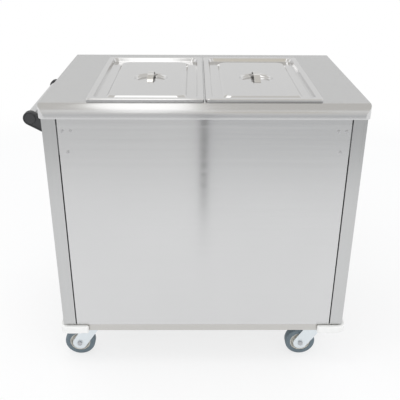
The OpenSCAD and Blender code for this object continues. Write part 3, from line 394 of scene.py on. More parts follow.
def band_outline(path, half, steps=8):
    """The outline of a band of half width half along a path, with round ends, counter-clockwise."""
    last = len(path) - 1
    sides = []
    for number in range(len(path)):
        ahead = path[min(number + 1, last)] - path[max(number - 1, 0)]
        sides.append(Vector((-ahead.y, ahead.x)).normalized())
    outline = [here + half * side for here, side in zip(path, sides)]
    for end, side in ((path[last], sides[last]), (path[0], -sides[0])):
        first = math.atan2(side.y, side.x)
        for step in range(1, steps):
            angle = first - math.pi * step / steps
            outline.append(end + half * Vector((math.cos(angle), math.sin(angle))))
        if end is path[last]:
            outline += [here - half * side for here, side in zip(path[::-1], sides[::-1])]
    return outline[::-1]


def drawn_in(outline, inset):
    """A counter-clockwise outline with its sides drawn inwards by inset."""
    drawn = []
    for number, here in enumerate(outline):
        back = (here - outline[number - 1]).normalized()
        ahead = (outline[(number + 1) % len(outline)] - here).normalized()
        inward = Vector((-back.y - ahead.y, back.x + ahead.x)).normalized()
        share = inward.dot(Vector((-back.y, back.x)))
        drawn.append(here + inset / max(share, 0.3) * inward)
    return drawn


def loft(form, rings, first_closed=True, last_closed=True, round_again=False):
    """Joins rings of equally many points. With round_again, the last one meets the first one."""
    made = [[form.verts.new(point) for point in ring] for ring in rings]
    pairs = list(zip(made, made[1:]))
    if round_again:
        pairs.append((made[-1], made[0]))
    for lower, upper in pairs:
        for number in range(len(lower)):
            after = (number + 1) % len(lower)
            form.faces.new((lower[number], lower[after], upper[after], upper[number]))
    if first_closed:
        form.faces.new(reversed(made[0]))
    if last_closed:
        form.faces.new(made[-1])
    return made


def at_level(outline, level, upright=False):
    """The outline in space: flat at a height, or upright in the XZ plane at a value of Y."""
    if upright:
        return [Vector((point.x, level, point.y)) for point in outline]
    return [Vector((point.x, point.y, level)) for point in outline]


def soft_slab(form, outline, low, high, edge, upright=False, steps=4):
    """A slab of the outline's shape from low to high with all its edges rounded."""
    turns = [math.pi / 2 * step / steps for step in range(steps + 1)]
    rise = [(edge * (1 - math.cos(turn)), edge * (1 - math.sin(turn))) for turn in turns]
    step_up = 1 if high > low else -1
    levels = [(low + step_up * up, inset) for up, inset in rise]
    levels += [(high - step_up * up, inset) for up, inset in reversed(rise)]
    loft(form, [at_level(drawn_in(outline, inset), level, upright) for level, inset in levels])


def add_form(form, other):
    """Copies another form into a form, and frees it."""
    spare = bpy.data.meshes.new("spare")
    other.to_mesh(spare)
    other.free()
    form.from_mesh(spare)
    bpy.data.meshes.remove(spare)


moulding, given, made = new_group(
    "moulding",
    [
        ("Position", "NodeSocketVector", (0, 0, 0)),
        ("Colour", "NodeSocketColor", (0.5, 0.5, 0.5, 1)),
        ("Roughness", "NodeSocketFloat", 0.5),
        ("Mottle", "NodeSocketFloat", 0.05),
        ("Grain", "NodeSocketFloat", 900.0),
    ],
)
patches = node(moulding, "ShaderNodeTexNoise", None,
               {"Vector": given["Position"], "Scale": 18.0, "Detail": 4.0})
pores = node(moulding, "ShaderNodeTexNoise", None,
             {"Vector": given["Position"], "Scale": given["Grain"], "Detail": 2.0})
patch_tone = blend_values(moulding, patches.outputs[0], 0.5, "SUBTRACT")
pore_tone = blend_values(moulding, pores.outputs[0], 0.5, "SUBTRACT")
both_tones = blend_values(moulding, patch_tone, pore_tone, "ADD")
tone = blend_values(moulding, both_tones, given["Mottle"], "MULTIPLY")
spread = blend_values(moulding, patch_tone, 0.15, "MULTIPLY")
rough = blend_values(moulding, given["Roughness"], spread, "ADD")
moulding.links.new(toned(moulding, given["Colour"], tone), made.inputs["Colour"])
moulding.links.new(rough, made.inputs["Roughness"])
moulding.links.new(pores.outputs[0], made.inputs["Height"])


def moulded(name, colour, roughness, mottle=0.06, grain=900.0, relief=0.00003, metallic=0.0, coat=0.0):
    """Plastic, rubber, enamel or plating with a fine grain and slightly uneven colour."""
    material, tree, shader = grained_material(name, moulding, {
        "Colour": (*colour, 1), "Roughness": roughness, "Mottle": mottle, "Grain": grain,
    }, relief)
    shader.inputs["Metallic"].default_value = metallic
    shader.inputs["Coat Weight"].default_value = coat
    return material


frame_low, frame_high = corners_of("chassis_frame")
middle = (frame_low + frame_high) / 2
bumper_low, bumper_high = corners_of("corner_bumpers")
bumper_half = (bumper_high - bumper_low) / 2
rim_wall = 14.5 * mm
rim_leg = 93.0 * mm
rim_radius = 30.0 * mm
rim_height = 26.0 * mm
rim_edge = 5.0 * mm
rim_low = bumper_high.z - rim_height
ledge_half = 45.5 * mm
ledge_thickness = 3.0 * mm
ledge_edge = 1.0 * mm
pad_thickness = 15.0 * mm
pad_reach = (425.0 * mm, 300.0 * mm)
pad_half = (50.5 * mm, 46.5 * mm)
pad_corner = 15.0 * mm
pad_edge = 1.5 * mm

rim_out = (bumper_half.x - rim_wall / 2, bumper_half.y - rim_wall / 2)
rim_path = rounded_path((
    (bumper_half.x - rim_leg + rim_wall / 2, rim_out[1], 0),
    (rim_out[0], rim_out[1], rim_radius - rim_wall / 2),
    (rim_out[0], bumper_half.y - rim_leg + rim_wall / 2, 0),
), steps=8)
form = bmesh.new()
for sx, sy in ((1, 1), (-1, 1), (-1, -1), (1, -1)):
    bumper = bmesh.new()
    soft_slab(bumper, band_outline(rim_path, rim_wall / 2), rim_low, bumper_high.z, rim_edge)
    ledge = moved(rectangle_outline(ledge_half, ledge_half, rim_radius),
                  bumper_half.x - rim_leg / 2, bumper_half.y - rim_leg / 2)
    soft_slab(bumper, ledge, rim_low, rim_low + ledge_thickness, ledge_edge)
    pad = moved(rectangle_outline(*pad_half, pad_corner),
                pad_reach[0] - pad_half[0], pad_reach[1] - pad_half[1])
    soft_slab(bumper, pad, bumper_low.z, bumper_low.z + pad_thickness, pad_edge)
    to_corner = Matrix.Translation((middle.x, middle.y, 0)) @ Matrix.Diagonal((sx, sy, 1, 1))
    bmesh.ops.transform(bumper, matrix=to_corner, verts=bumper.verts)
    add_form(form, bumper)
bumper_plastic = moulded("bumper_plastic", (0.90, 0.90, 0.885), 0.42, mottle=0.04)
even_shading(piece_from(form, "corner_bumpers_moulded", bumper_plastic, "corner_bumpers"))

# --- Castors ---
# Pressed zinc-plated castors: a bolted plate with its ball race, a fork that swivels under it on
# a pin, and a wheel with a blue-grey tyre on a pale moulded centre. The two on the operator's side
# have a red foot brake with a ribbed tread.

joint_place = {joint["name"]: Vector(joint["pos_m"])
               for joint in frame["record"]["behaviour"]["joints"] if "pos_m" in joint}
zinc_plate = moulded("zinc_plate", (0.76, 0.81, 0.84), 0.34, mottle=0.10, grain=250.0,
                     relief=0.00002, metallic=0.75)
bolt_steel = moulded("bolt_steel", (0.50, 0.51, 0.53), 0.30, mottle=0.12, metallic=1.0)
wheel_plastic = moulded("wheel_plastic", (0.74, 0.72, 0.66), 0.45, mottle=0.05)
tyre_rubber = moulded("tyre_rubber", (0.150, 0.195, 0.225), 0.62, mottle=0.16, grain=400.0,
                      relief=0.00008)
pedal_enamel = moulded("pedal_enamel", (0.50, 0.035, 0.025), 0.32, mottle=0.05, grain=160.0,
                       relief=0.00006, coat=0.5)


def lathe(form, profile, centre, upright=False, steps=64):
    """Turns a profile of (radius, distance along the axis) round an axis along Y, or Z if upright."""
    rings = []
    for step in range(steps):
        angle = 2 * math.pi * step / steps
        across = Vector((math.cos(angle), math.sin(angle), 0))
        along = Vector((0, 0, 1))
        if not upright:
            across = Vector((across.x, 0, across.y))
            along = Vector((0, 1, 0))
        rings.append([centre + radius * across + reach * along for radius, reach in profile])
    loft(form, rings, False, False, round_again=True)


def mirrored(half):
    """A profile's half at negative distances, followed by its mirror image."""
    return half + [(radius, -reach, turn) for radius, reach, turn in reversed(half)]


tyre_half = [(34.1, -16.0, 0.6), (39.5, -16.0, 0), (40.2, -15.3, 0), (41.4, -15.3, 0),
             (42.1, -16.0, 0), (50.0, -16.0, 7.9)]
wheel_half = [(5.1, -18.2, 0.3), (11.0, -18.2, 1.0), (11.0, -5.0, 1.5), (30.0, -5.0, 1.5),
              (30.0, -10.0, 0.3), (31.0, -10.0, 0.3), (31.0, -14.0, 0.6), (34.0, -14.0, 0.6)]


def in_metres(corners):
    return [tuple(value * mm for value in corner) for corner in corners]


tyre_profile = rounded_path(in_metres(mirrored(tyre_half)), closed=True, steps=6)
wheel_profile = rounded_path(in_metres(mirrored(wheel_half)), closed=True, steps=3)
castor_corners = ("front_left", "front_right", "rear_left", "rear_right")
for corner in castor_corners:
    axle = joint_place[f"wheel_{corner}_roll"]
    form = bmesh.new()
    lathe(form, tyre_profile, axle, steps=96)
    even_shading(piece_from(form, f"tyre_{corner}_moulded", tyre_rubber, f"tyre_{corner}"))
    form = bmesh.new()
    lathe(form, wheel_profile, axle, steps=96)
    even_shading(piece_from(form, f"wheel_centre_{corner}_moulded", wheel_plastic,
                            f"wheel_centre_{corner}"))
    finished(f"castor_fork_{corner}", zinc_plate, 1.0 * mm, 3)
    finished(f"castor_axle_{corner}", bolt_steel, 0.5 * mm)
finished("castor_plates", zinc_plate, 0.5 * mm)

repeat_tree = bpy.data.node_groups.new("repeat_unit", "GeometryNodeTree")
for label, kind, way in (
    ("Places", "NodeSocketGeometry", "INPUT"), ("Unit", "NodeSocketObject", "INPUT"),
    ("Material", "NodeSocketMaterial", "INPUT"), ("Mesh", "NodeSocketGeometry", "OUTPUT"),
):
    repeat_tree.interface.new_socket(label, in_out=way, socket_type=kind)
given = repeat_tree.nodes.new("NodeGroupInput").outputs
made = repeat_tree.nodes.new("NodeGroupOutput")
turn = node(repeat_tree, "GeometryNodeInputNamedAttribute", {"data_type": "FLOAT_VECTOR"},
            {"Name": "turn"})
turned = node(repeat_tree, "FunctionNodeEulerToRotation", None, {"Euler": turn.outputs[0]})
unit = node(repeat_tree, "GeometryNodeObjectInfo", None, {"Object": given["Unit"]})
copies = node(repeat_tree, "GeometryNodeInstanceOnPoints", None, {
    "Points": given["Places"], "Instance": unit.outputs["Geometry"], "Rotation": turned.outputs[0],
})
real = node(repeat_tree, "GeometryNodeRealizeInstances", None, {"Geometry": copies.outputs[0]})
painted = node(repeat_tree, "GeometryNodeSetMaterial", None,
               {"Geometry": real.outputs[0], "Material": given["Material"]})
repeat_tree.links.new(painted.outputs[0], made.inputs["Mesh"])
repeat_input = {item.name: item.identifier for item in repeat_tree.interface.items_tree
                if item.in_out == "INPUT"}


def repeated(unit_form, places, material):
    """A form with the unit at each (place, turn about X, Y and Z), copied by Geometry Nodes."""
    unit_mesh = bpy.data.meshes.new("unit")
    bmesh.ops.recalc_face_normals(unit_form, faces=unit_form.faces)
    unit_form.to_mesh(unit_mesh)
    unit_form.free()
    unit_object = bpy.data.objects.new("unit", unit_mesh)
    points = bpy.data.meshes.new("places")
    points.from_pydata([place for place, turn in places], [], [])
    turns = points.attributes.new("turn", "FLOAT_VECTOR", "POINT")
    for value, (place, turn) in zip(turns.data, places):
        value.vector = turn
    carrier = bpy.data.objects.new("places", points)
    for made in (unit_object, carrier):
        scene.collection.objects.link(made)
    copier = carrier.modifiers.new("copies", "NODES")
    copier.node_group = repeat_tree
    copier[repeat_input["Unit"]] = unit_object
    copier[repeat_input["Material"]] = material
    bpy.context.view_layer.update()
    whole = carrier.evaluated_get(bpy.context.evaluated_depsgraph_get())
    mesh = bpy.data.meshes.new_from_object(whole)
    form = bmesh.new()
    form.from_mesh(mesh)
    bpy.data.objects.remove(carrier)
    bpy.data.objects.remove(unit_object)
    bpy.data.meshes.remove(mesh)
    return form


def prism(form, radius, low, high, sides, edge):
    """An upright prism or rod whose ends are chamfered by edge."""
    levels = [(low, radius - edge), (low + edge, radius), (high - edge, radius), (high, radius - edge)]
    turns = [2 * math.pi * side / sides for side in range(sides)]
    loft(form, [[Vector((reach * math.cos(turn), reach * math.sin(turn), level)) for turn in turns]
                for level, reach in levels])


# Four hexagon bolts hold each castor, with their heads under its plate and nuts in the chassis
bolt_low, bolt_high = corners_of("castor_bolts")
bolt_length = bolt_high.z - bolt_low.z
bolt_spread = (38.0 * mm, 30.0 * mm)
bolt_radius = 4.0 * mm
bolt_edge = 0.3 * mm
hexagon_radius = 6.8 * mm
hexagon_edge = 0.4 * mm
head_height = 2.0 * mm
nut_height = 5.0 * mm
unit = bmesh.new()
prism(unit, hexagon_radius, 0, head_height, 6, hexagon_edge)
prism(unit, bolt_radius, head_height / 2, bolt_length, 24, bolt_edge)
prism(unit, hexagon_radius, bolt_length - nut_height, bolt_length, 6, hexagon_edge)
bolt_places = []
for corner in castor_corners:
    swivel = joint_place[f"castor_{corner}_swivel"]
    for x in (-1, 1):
        for y in (-1, 1):
            bolt_places.append(((swivel.x + x * bolt_spread[0], swivel.y + y * bolt_spread[1],
                                 bolt_low.z), (0, 0, 0)))
form = repeated(unit, bolt_places, bolt_steel)
even_shading(piece_from(form, "castor_bolts_set", bolt_steel, "castor_bolts"))

# Foot brakes with seven low ribs across the tread
rib_count = 7
rib_pitch = 3.2 * mm
rib_half_width = 0.9 * mm
rib_corner = 0.85 * mm
rib_height = 0.8 * mm
rib_root = 0.5 * mm
rib_edge = 0.4 * mm
first_rib_in = 3.5 * mm
rib_ends_in = 4.0 * mm
tread_below_pin = 8.0 * mm
for side in ("left", "right"):
    name = f"brake_pedal_{side}"
    finished(name, pedal_enamel, 0.7 * mm)
    tread_low, tread_high = corners_of(name)
    tread_x = tread_low.x + first_rib_in
    tread_y = (tread_low.y + tread_high.y) / 2
    tread_z = joint_place[name + "_press"].z - tread_below_pin
    unit = bmesh.new()
    rib = rectangle_outline(rib_half_width, (tread_high.y - tread_low.y) / 2 - rib_ends_in, rib_corner, 4)
    soft_slab(unit, rib, -rib_root, rib_height, rib_edge, steps=2)
    rib_places = [((tread_x + number * rib_pitch, tread_y, tread_z), (0, 0, 0))
                  for number in range(rib_count)]
    form = repeated(unit, rib_places, pedal_enamel)
    even_shading(piece_from(form, f"tread_ribs_{side}", pedal_enamel, body=f"pedal_{side}",
                            slot="pedal_red"))

# --- Body ---
# Folded stainless panels: two sides with return flanges, brushed upright, and the customer's panel
# between them, brushed along. Round-headed screws hold it, and four more the push handle.

side_steel = steel("side_steel", (0.58, 0.585, 0.585), 0.30, "Z", anisotropy=0.6, relief=0.000008)
front_steel = steel("front_steel", (0.665, 0.667, 0.67), 0.17, "X", anisotropy=0.97, relief=0.000006)
inner_steel = steel("inner_steel", (0.55, 0.555, 0.56), 0.42, "X", anisotropy=0.3, clouds=0.08)
gland_plastic = moulded("gland_plastic", (0.045, 0.045, 0.05), 0.5, relief=0.00005)
finished("base_pan", inner_steel, 0.4 * mm)
for side in ("left", "right"):
    finished(f"side_panel_{side}", side_steel, 0.5 * mm, whole_flats=True)
finished("back_panel", front_steel, 0.5 * mm, whole_flats=True)
finished("cable_gland", gland_plastic, 0.6 * mm)

# A screw's head is a low dome with a round drive, and its shank runs back through the sheet
screw_steel = moulded("screw_steel", (0.56, 0.56, 0.57), 0.32, mottle=0.1, metallic=1.0)
side_sheet = 1.2 * mm
inside_left = corners_of("side_panel_left")[0].x + side_sheet
screw_head = 2.2 * mm
screw_seat = corners_of("body_screws")[0].y + screw_head
screw_pitch = 23.0 * mm
first_screw = 371.0 * mm
upper_screws = 823.5 * mm
lower_screws = 762.0 * mm
bracket_screws = (786.0 * mm, 771.0 * mm)
bracket_spread = 186.0 * mm
unit = bmesh.new()
lathe(unit, rounded_path(in_metres((
    (0, -12.0, 0), (2.4, -12.0, 0.4), (2.4, 0, 0), (4.4, 0, 0), (4.4, 0.8, 0), (3.9, 1.5, 0),
    (2.9, 2.0, 0), (1.5, 2.2, 0), (1.3, 1.2, 0), (0, 1.2, 0),
)), steps=2), Vector((0, 0, 0)), upright=True, steps=24)
screw_places = []
for side in (-1, 1):
    for x, z in ((first_screw, upper_screws), (first_screw + screw_pitch, upper_screws),
                 (first_screw + screw_pitch / 2, lower_screws)):
        screw_places.append(((middle.x + side * x, screw_seat, z), (math.pi / 2, 0, 0)))
    for z in bracket_screws:
        screw_places.append(((inside_left, middle.y + side * bracket_spread, z), (0, math.pi / 2, 0)))
form = repeated(unit, screw_places, screw_steel)
even_shading(piece_from(form, "body_screws_set", screw_steel, "body_screws"))

# --- Worktop ---
# One satin sheet. Its long edges are rolled over, its short ones folded down sharply, and the two
# holes for the pans are cut in its flat.

top_steel = steel("top_steel", (0.645, 0.646, 0.65), 0.22, "X", anisotropy=0.6, streaks=0.04,
                  clouds=0.02, relief=0.000004)
top_low, top_high = corners_of("worktop")
top_sheet = 1.5 * mm
roll_radius = 30.0 * mm
corner_radius = 20.0 * mm
fold_radius = 3.0 * mm
hole_radius = 28.0 * mm
hole_half = (153.5 * mm, 256.0 * mm)
roll_steps = 20
fold_steps = 4
half_x = (top_high.x - top_low.x) / 2
half_y = (top_high.y - top_low.y) / 2


def sheet_piece(form, name, material, thickness, *stands_for):
    """A pressing with its sheet's thickness laid on the side away from its normals."""
    made = piece_from(form, name, material, *stands_for)
    sheet = made.modifiers.new("sheet", "SOLIDIFY")
    sheet.thickness = thickness
    sheet.offset = -1
    return even_shading(made)


def row_across(y, z, fold):
    """Points across the worktop at y, from one lip over the flat to the other lip."""
    past = max(0, y - (half_y - corner_radius))
    reach = half_x - corner_radius + math.sqrt(max(0, corner_radius ** 2 - past ** 2))
    out = Vector((1, 0))
    if past > 0:
        out = Vector((reach - (half_x - corner_radius), past)).normalized()
    side = [Vector((reach, y, top_low.z))]
    for step in range(fold_steps + 1):
        turn = math.pi / 2 * step / fold_steps
        inset = fold * (1 - math.cos(turn))
        drop = fold * (1 - math.sin(turn))
        side.append(Vector((reach - inset * out.x, y - inset * out.y, z - drop)))
    return [Vector((-point.x, point.y, point.z)) for point in side] + side[::-1]


edge_rows = [row_across(half_y, top_low.z, 0)]
for step in range(roll_steps, -1, -1):
    turn = math.pi / 2 * step / roll_steps
    edge_rows.append(row_across(half_y - roll_radius * (1 - math.sin(turn)),
                                top_high.z - roll_radius * (1 - math.cos(turn)),
                                fold_radius * math.cos(turn)))
rows = [[Vector((point.x, -point.y, point.z)) for point in row] for row in edge_rows]
flat_row = len(rows)
rows += edge_rows[::-1]
form = bmesh.new()
shift = Vector((middle.x, middle.y, 0))
grid = [[form.verts.new(point + shift) for point in row] for row in rows]
flat_column = len(rows[0]) // 2
for number, (near, far) in enumerate(zip(grid, grid[1:]), 1):
    for column in range(1, len(near)):
        if number != flat_row or column != flat_column:
            form.faces.new((near[column - 1], near[column], far[column], far[column - 1]))
flat = [grid[flat_row - 1][flat_column - 1], grid[flat_row - 1][flat_column],
        grid[flat_row][flat_column], grid[flat_row][flat_column - 1]]
flat_edges = [form.edges.get((a, b)) or form.edges.new((a, b))
              for a, b in zip(flat, flat[1:] + flat[:1])]
for side in ("left", "right"):
    pan_low, pan_high = corners_of(f"pan_{side}")
    pan_middle = (pan_low + pan_high) / 2
    outline = moved(rectangle_outline(*hole_half, hole_radius), pan_middle.x, pan_middle.y)
    hole = [form.verts.new(point) for point in at_level(outline, top_high.z)]
    flat_edges += [form.edges.new((a, b)) for a, b in zip(hole, hole[1:] + hole[:1])]
bmesh.ops.triangle_fill(form, edges=flat_edges, use_beauty=True)
sheet_piece(form, "worktop_pressed", top_steel, top_sheet, "worktop")

# --- Pans and lids ---
# Two full-size gastronorm pans hang by their rims in the worktop. A bright pressed lid lies on each:
# a sunken band, a raised middle with a finger dish, and a strap handle welded across the dish.

pan_steel = steel("pan_steel", (0.62, 0.625, 0.63), 0.20, "Y", anisotropy=0.3, streaks=0.04)
lid_steel = steel("lid_steel", (0.735, 0.733, 0.735), 0.11, "Y", anisotropy=0.2, streaks=0.03,
                  clouds=0.03, relief=0.000005)
strap_steel = steel("strap_steel", (0.735, 0.725, 0.71), 0.12, "Y", anisotropy=0.2, streaks=0.03,
                    clouds=0.02, relief=0.000005)
pan_corner = 10.0 * mm
well_corner = 25.0 * mm
pan_sheet = 1.0 * mm
pan_hem = 4.0 * mm
rim_width = 11.0 * mm
pan_base_turn = 12.0 * mm
lid_hem = 4.4 * mm
lid_flange = 17.0 * mm
lid_wall_lean = 4.0 * mm
lid_band = 38.0 * mm
lid_slope = 7.0 * mm
lid_drop = 12.0 * mm
lid_raise = 6.0 * mm
recess_corner = 18.0 * mm
raised_corner = 24.0 * mm
dish_radius = 52.5 * mm
dish_depth = 9.0 * mm
dish_slope = 5.0 * mm
dish_turn = 12.0 * mm
dish_middle = 12.0 * mm
strap_sheet = 3.0 * mm
strap_corner = 1.2 * mm
strap_steps = 32
strap_end_in = 0.012


def between(value, stops):
    """The value's height on a line through stops, each (place, height)."""
    for (a, low), (b, high) in zip(stops, stops[1:]):
        if value <= b:
            return low + (high - low) * max(0, value - a) / (b - a)
    return stops[-1][1]


def pressed_rings(centre, half, profile, corners):
    """Level rings of a pressing. Its profile has the inset and the height, corners the radii."""
    rings = []
    for inset, level in profile:
        outline = rectangle_outline(half.x - inset, half.y - inset, between(inset, corners), 12)
        rings.append(at_level(moved(outline, centre.x, centre.y), level))
    return rings


for side in ("left", "right"):
    low, high = corners_of(f"pan_{side}")
    centre, half = (low + high) / 2, (high - low) / 2
    wall = rim_width + pan_sheet
    pan_profile = rounded_path((
        (0, high.z - pan_hem, 0), (0, high.z, 1.5 * mm), (wall, high.z, 2.5 * mm),
        (wall, low.z + pan_sheet, pan_base_turn), (wall + 2 * pan_base_turn, low.z + pan_sheet, 0),
    ), steps=6)
    form = bmesh.new()
    loft(form, pressed_rings(centre, half, pan_profile, ((0, pan_corner), (wall, well_corner))), False)
    sheet_piece(form, f"pan_{side}_drawn", pan_steel, pan_sheet, f"pan_{side}")

    low, high = corners_of(f"lid_{side}")
    band_z = high.z - lid_drop
    raised_z = band_z + lid_raise
    dish_z = raised_z - dish_depth
    raised_in = lid_flange + lid_band
    lid_profile = rounded_path((
        (0, high.z - lid_hem, 0), (0, high.z, 3.8 * mm), (lid_flange, high.z, 2.0 * mm),
        (lid_flange + lid_wall_lean, band_z, 2.5 * mm),
        (raised_in - lid_slope, band_z, 2.5 * mm), (raised_in, raised_z, 3.0 * mm),
        (raised_in + lid_slope, raised_z, 0),
    ), steps=6)
    rings = pressed_rings(centre, half, lid_profile, (
        (0, pan_corner), (lid_flange, recess_corner), (raised_in, raised_corner)))
    dish_profile = rounded_path((
        (dish_radius + dish_slope, raised_z, 0), (dish_radius, raised_z, 2.5 * mm),
        (dish_radius - dish_slope, dish_z, dish_turn), (dish_middle, dish_z, 0),
    ), steps=8)
    count = len(rings[0])
    for radius, level in dish_profile:
        turns = [2 * math.pi * (number + 0.5) / count for number in range(count)]
        rings.append([Vector((centre.x + radius * math.cos(turn), centre.y + radius * math.sin(turn),
                              level)) for turn in turns])
    form = bmesh.new()
    loft(form, rings, False)
    sheet_piece(form, f"lid_{side}_pressed", lid_steel, pan_sheet, f"lid_{side}")

    low, high = corners_of(f"lid_handle_{side}")
    strap_half = (high.y - low.y) / 2
    rise = high.z - low.z
    bend = (strap_half ** 2 + rise ** 2) / (2 * rise)
    hub = Vector((centre.x, centre.y, high.z - bend))
    section = rectangle_outline((high.x - low.x) / 2, strap_sheet / 2, strap_corner, 4)
    reach = math.asin(strap_half / bend) - strap_end_in
    rings = []
    for step in range(strap_steps + 1):
        turn = reach * (2 * step / strap_steps - 1)
        out = Vector((0, math.sin(turn), math.cos(turn)))
        rings.append([hub + (bend - strap_sheet / 2 + point.y) * out + Vector((point.x, 0, 0))
                      for point in section])
    form = bmesh.new()
    loft(form, rings)
    even_shading(piece_from(form, f"lid_handle_{side}_bent", strap_steel, f"lid_handle_{side}"))

# --- Wells ---
# A tank hangs from the worktop under both pans and holds the hot water or air round them. The
# sheathed heating element lies under its floor.

sheath_steel = moulded("sheath_steel", (0.13, 0.115, 0.10), 0.42, mottle=0.5, grain=60.0,
                       relief=0.00002, metallic=0.9)
finished("well_tank", inner_steel, 0.6 * mm)
finished("well_element", sheath_steel, 0.3 * mm)

# --- Push handle ---
# A polished tube at the left end is held by two black moulded brackets, each screwed to the side
# panel from inside. A bracket's outer face has a rim, the tube's boss and two pockets in its arm.

tube_steel = steel("tube_steel", (0.70, 0.705, 0.71), 0.16, "Y", anisotropy=0.5, streaks=0.04)
bracket_plastic = moulded("bracket_plastic", (0.042, 0.043, 0.046), 0.42, mottle=0.08,
                          grain=700.0, relief=0.00006)
finished("handle_tube", tube_steel, 0.5 * mm)
low, high = corners_of("handle_brackets")
bracket_radius = 21.0 * mm
bracket_depth = 18.0 * mm
bracket_edge = 2.5 * mm
bracket_rim = 4.0 * mm
foot_top = 800.0 * mm
pocket_depth = 2.5 * mm
boss_radius = 16.5 * mm
arm_rib_half = 1.5 * mm
arm_rib_reach = 19.0 * mm
arm_rib_place = 0.70
arc_steps = 24
boss_steps = 32
boss = Vector((low.x + bracket_radius, high.z - bracket_radius))


def touching(centre, radius, point, way):
    """The angle at which a line from point touches the circle."""
    out = point - centre
    return math.atan2(out.y, out.x) + way * math.acos(radius / out.length)


foot_corners = (Vector((high.x, low.z)), Vector((high.x, foot_top)))
start = touching(boss, bracket_radius, foot_corners[1], 1)
end = touching(boss, bracket_radius, foot_corners[0], -1) + 2 * math.pi
bracket_arc = [start + (end - start) * step / arc_steps for step in range(arc_steps + 1)]
bracket_outline = [boss + bracket_radius * Vector((math.cos(turn), math.sin(turn)))
                   for turn in bracket_arc] + list(foot_corners)
boss_turns = [2 * math.pi * step / boss_steps for step in range(boss_steps)]
boss_outline = [boss + boss_radius * Vector((math.cos(turn), math.sin(turn))) for turn in boss_turns]
foot_middle = (foot_corners[0] + foot_corners[1]) / 2
along_arm = (foot_middle - boss).normalized()
across_arm = Vector((-along_arm.y, along_arm.x))
rib_middle = boss + arm_rib_place * (foot_middle - boss)
rib_outline = [rib_middle + a * arm_rib_half * along_arm + b * arm_rib_reach * across_arm
               for a, b in ((-1, -1), (1, -1), (1, 1), (-1, 1))]
form = bmesh.new()
for side in (-1, 1):
    inner = middle.y + side * ((high.y - low.y) / 2 - bracket_depth)
    outer = middle.y + side * (high.y - low.y) / 2
    rooted = outer - side * 2 * pocket_depth
    buried = outer - side * 3 * pocket_depth
    soft_slab(form, bracket_outline, inner, outer - side * pocket_depth, 1 * mm, upright=True)
    soft_slab(form, boss_outline, rooted, outer, 1.5 * mm, upright=True)
    soft_slab(form, rib_outline, rooted, outer - side * 0.3 * mm, 0.7 * mm, upright=True)
    rim = rounded_path((
        (0, buried, 0), (0, outer, bracket_edge), (bracket_rim, outer, 1.2 * mm), (bracket_rim, buried, 0),
    ))
    loft(form, [at_level(drawn_in(bracket_outline, inset), level, True) for inset, level in rim],
         False, False, round_again=True)
even_shading(piece_from(form, "handle_brackets_moulded", bracket_plastic, "handle_brackets"))

# --- Cupboard ---
# A folded liner hangs inside the body, with one shelf on two supports. Its heating element lies
# under its floor, and the doors close against two white magnetic catches.

catch_plastic = moulded("catch_plastic", (0.78, 0.77, 0.73), 0.45)
finished("cupboard_liner", inner_steel, 0.4 * mm)
finished("cupboard_element", sheath_steel, 0.3 * mm)
finished("shelf_supports", inner_steel, 0.4 * mm)
finished("shelf", inner_steel, 0.5 * mm)
finished("magnetic_catches", catch_plastic, 0.6 * mm)

# --- Doors ---
# Two double-skinned doors close the operator's side. Each hangs on two lift-off hinges and has a
# bar handle on two posts.

door_steel = steel("door_steel", (0.64, 0.645, 0.65), 0.33, "X", anisotropy=0.7)
hinge_steel = moulded("hinge_steel", (0.56, 0.56, 0.57), 0.30, mottle=0.06, metallic=1.0)
bar_steel = steel("bar_steel", (0.70, 0.705, 0.71), 0.18, "Z", anisotropy=0.5, streaks=0.04)
for side in ("left", "right"):
    finished(f"door_outer_{side}", door_steel, 0.6 * mm)
    finished(f"door_inner_{side}", inner_steel, 0.4 * mm)
    finished(f"door_handle_{side}", bar_steel, 1.0 * mm, 3)
    finished(f"door_hinge_{side}", hinge_steel, 0.4 * mm)
finished("hinge_leaves", hinge_steel, 0.4 * mm)

# --- Controls ---
# The control panel over the doors carries two thermostats with their knobs, the mains switch and
# an amber lamp. Round each knob is a dial of short lines and plain numbers, printed in black.

knob_plastic = moulded("knob_plastic", (0.035, 0.035, 0.038), 0.36, relief=0.00005)
switch_plastic = moulded("switch_plastic", (0.04, 0.04, 0.043), 0.45, relief=0.00005)
rocker_plastic = moulded("rocker_plastic", (0.50, 0.018, 0.014), 0.22, mottle=0.03, coat=0.4)
lamp_plastic = moulded("lamp_plastic", (0.80, 0.30, 0.03), 0.15, mottle=0.12, grain=60.0, coat=0.6)
case_plastic = moulded("case_plastic", (0.10, 0.085, 0.07), 0.5)
ink = moulded("ink", (0.03, 0.03, 0.032), 0.6, mottle=0.1, relief=0.00001)
white_ink = moulded("white_ink", (0.85, 0.85, 0.83), 0.5, mottle=0.05, relief=0.00001)
finished("control_panel", front_steel, 0.5 * mm, whole_flats=True)
finished("thermostats", case_plastic, 0.8 * mm)
finished("switch_body", switch_plastic, 0.6 * mm)
finished("rocker", rocker_plastic, 0.6 * mm, 3)

panel_face = corners_of("control_panel")[1].y
spindle_radius = 3.05 * mm
skirt_height = 5.0 * mm
skirt_slope = 0.5 * mm
barrel_in = 5.5 * mm
grip_rise = 6.0 * mm
grip_half_width = 3.5 * mm
grip_corner = 3.2 * mm
grip_ends_in = 3.0 * mm
flutes = 18
flute_radius = 0.9 * mm
flutes_in = 5.0 * mm
pointer_half = (0.7 * mm, 5.0 * mm)
pointer_in = 9.0 * mm
print_rise = 0.12 * mm
print_root = 0.05 * mm
dial_turn = math.radians(270)
dial_lines = 11
line_half = (0.35 * mm, 2.0 * mm)
lines_radius = 26.5 * mm
numbers_radius = 33.5 * mm
number_size = 8.0 * mm


def on_dial(centre, radius, turn):
    """A place on a dial. The turn runs clockwise from the top, as the operator sees it."""
    return Vector((centre.x - radius * math.sin(turn), panel_face, centre.z + radius * math.cos(turn)))


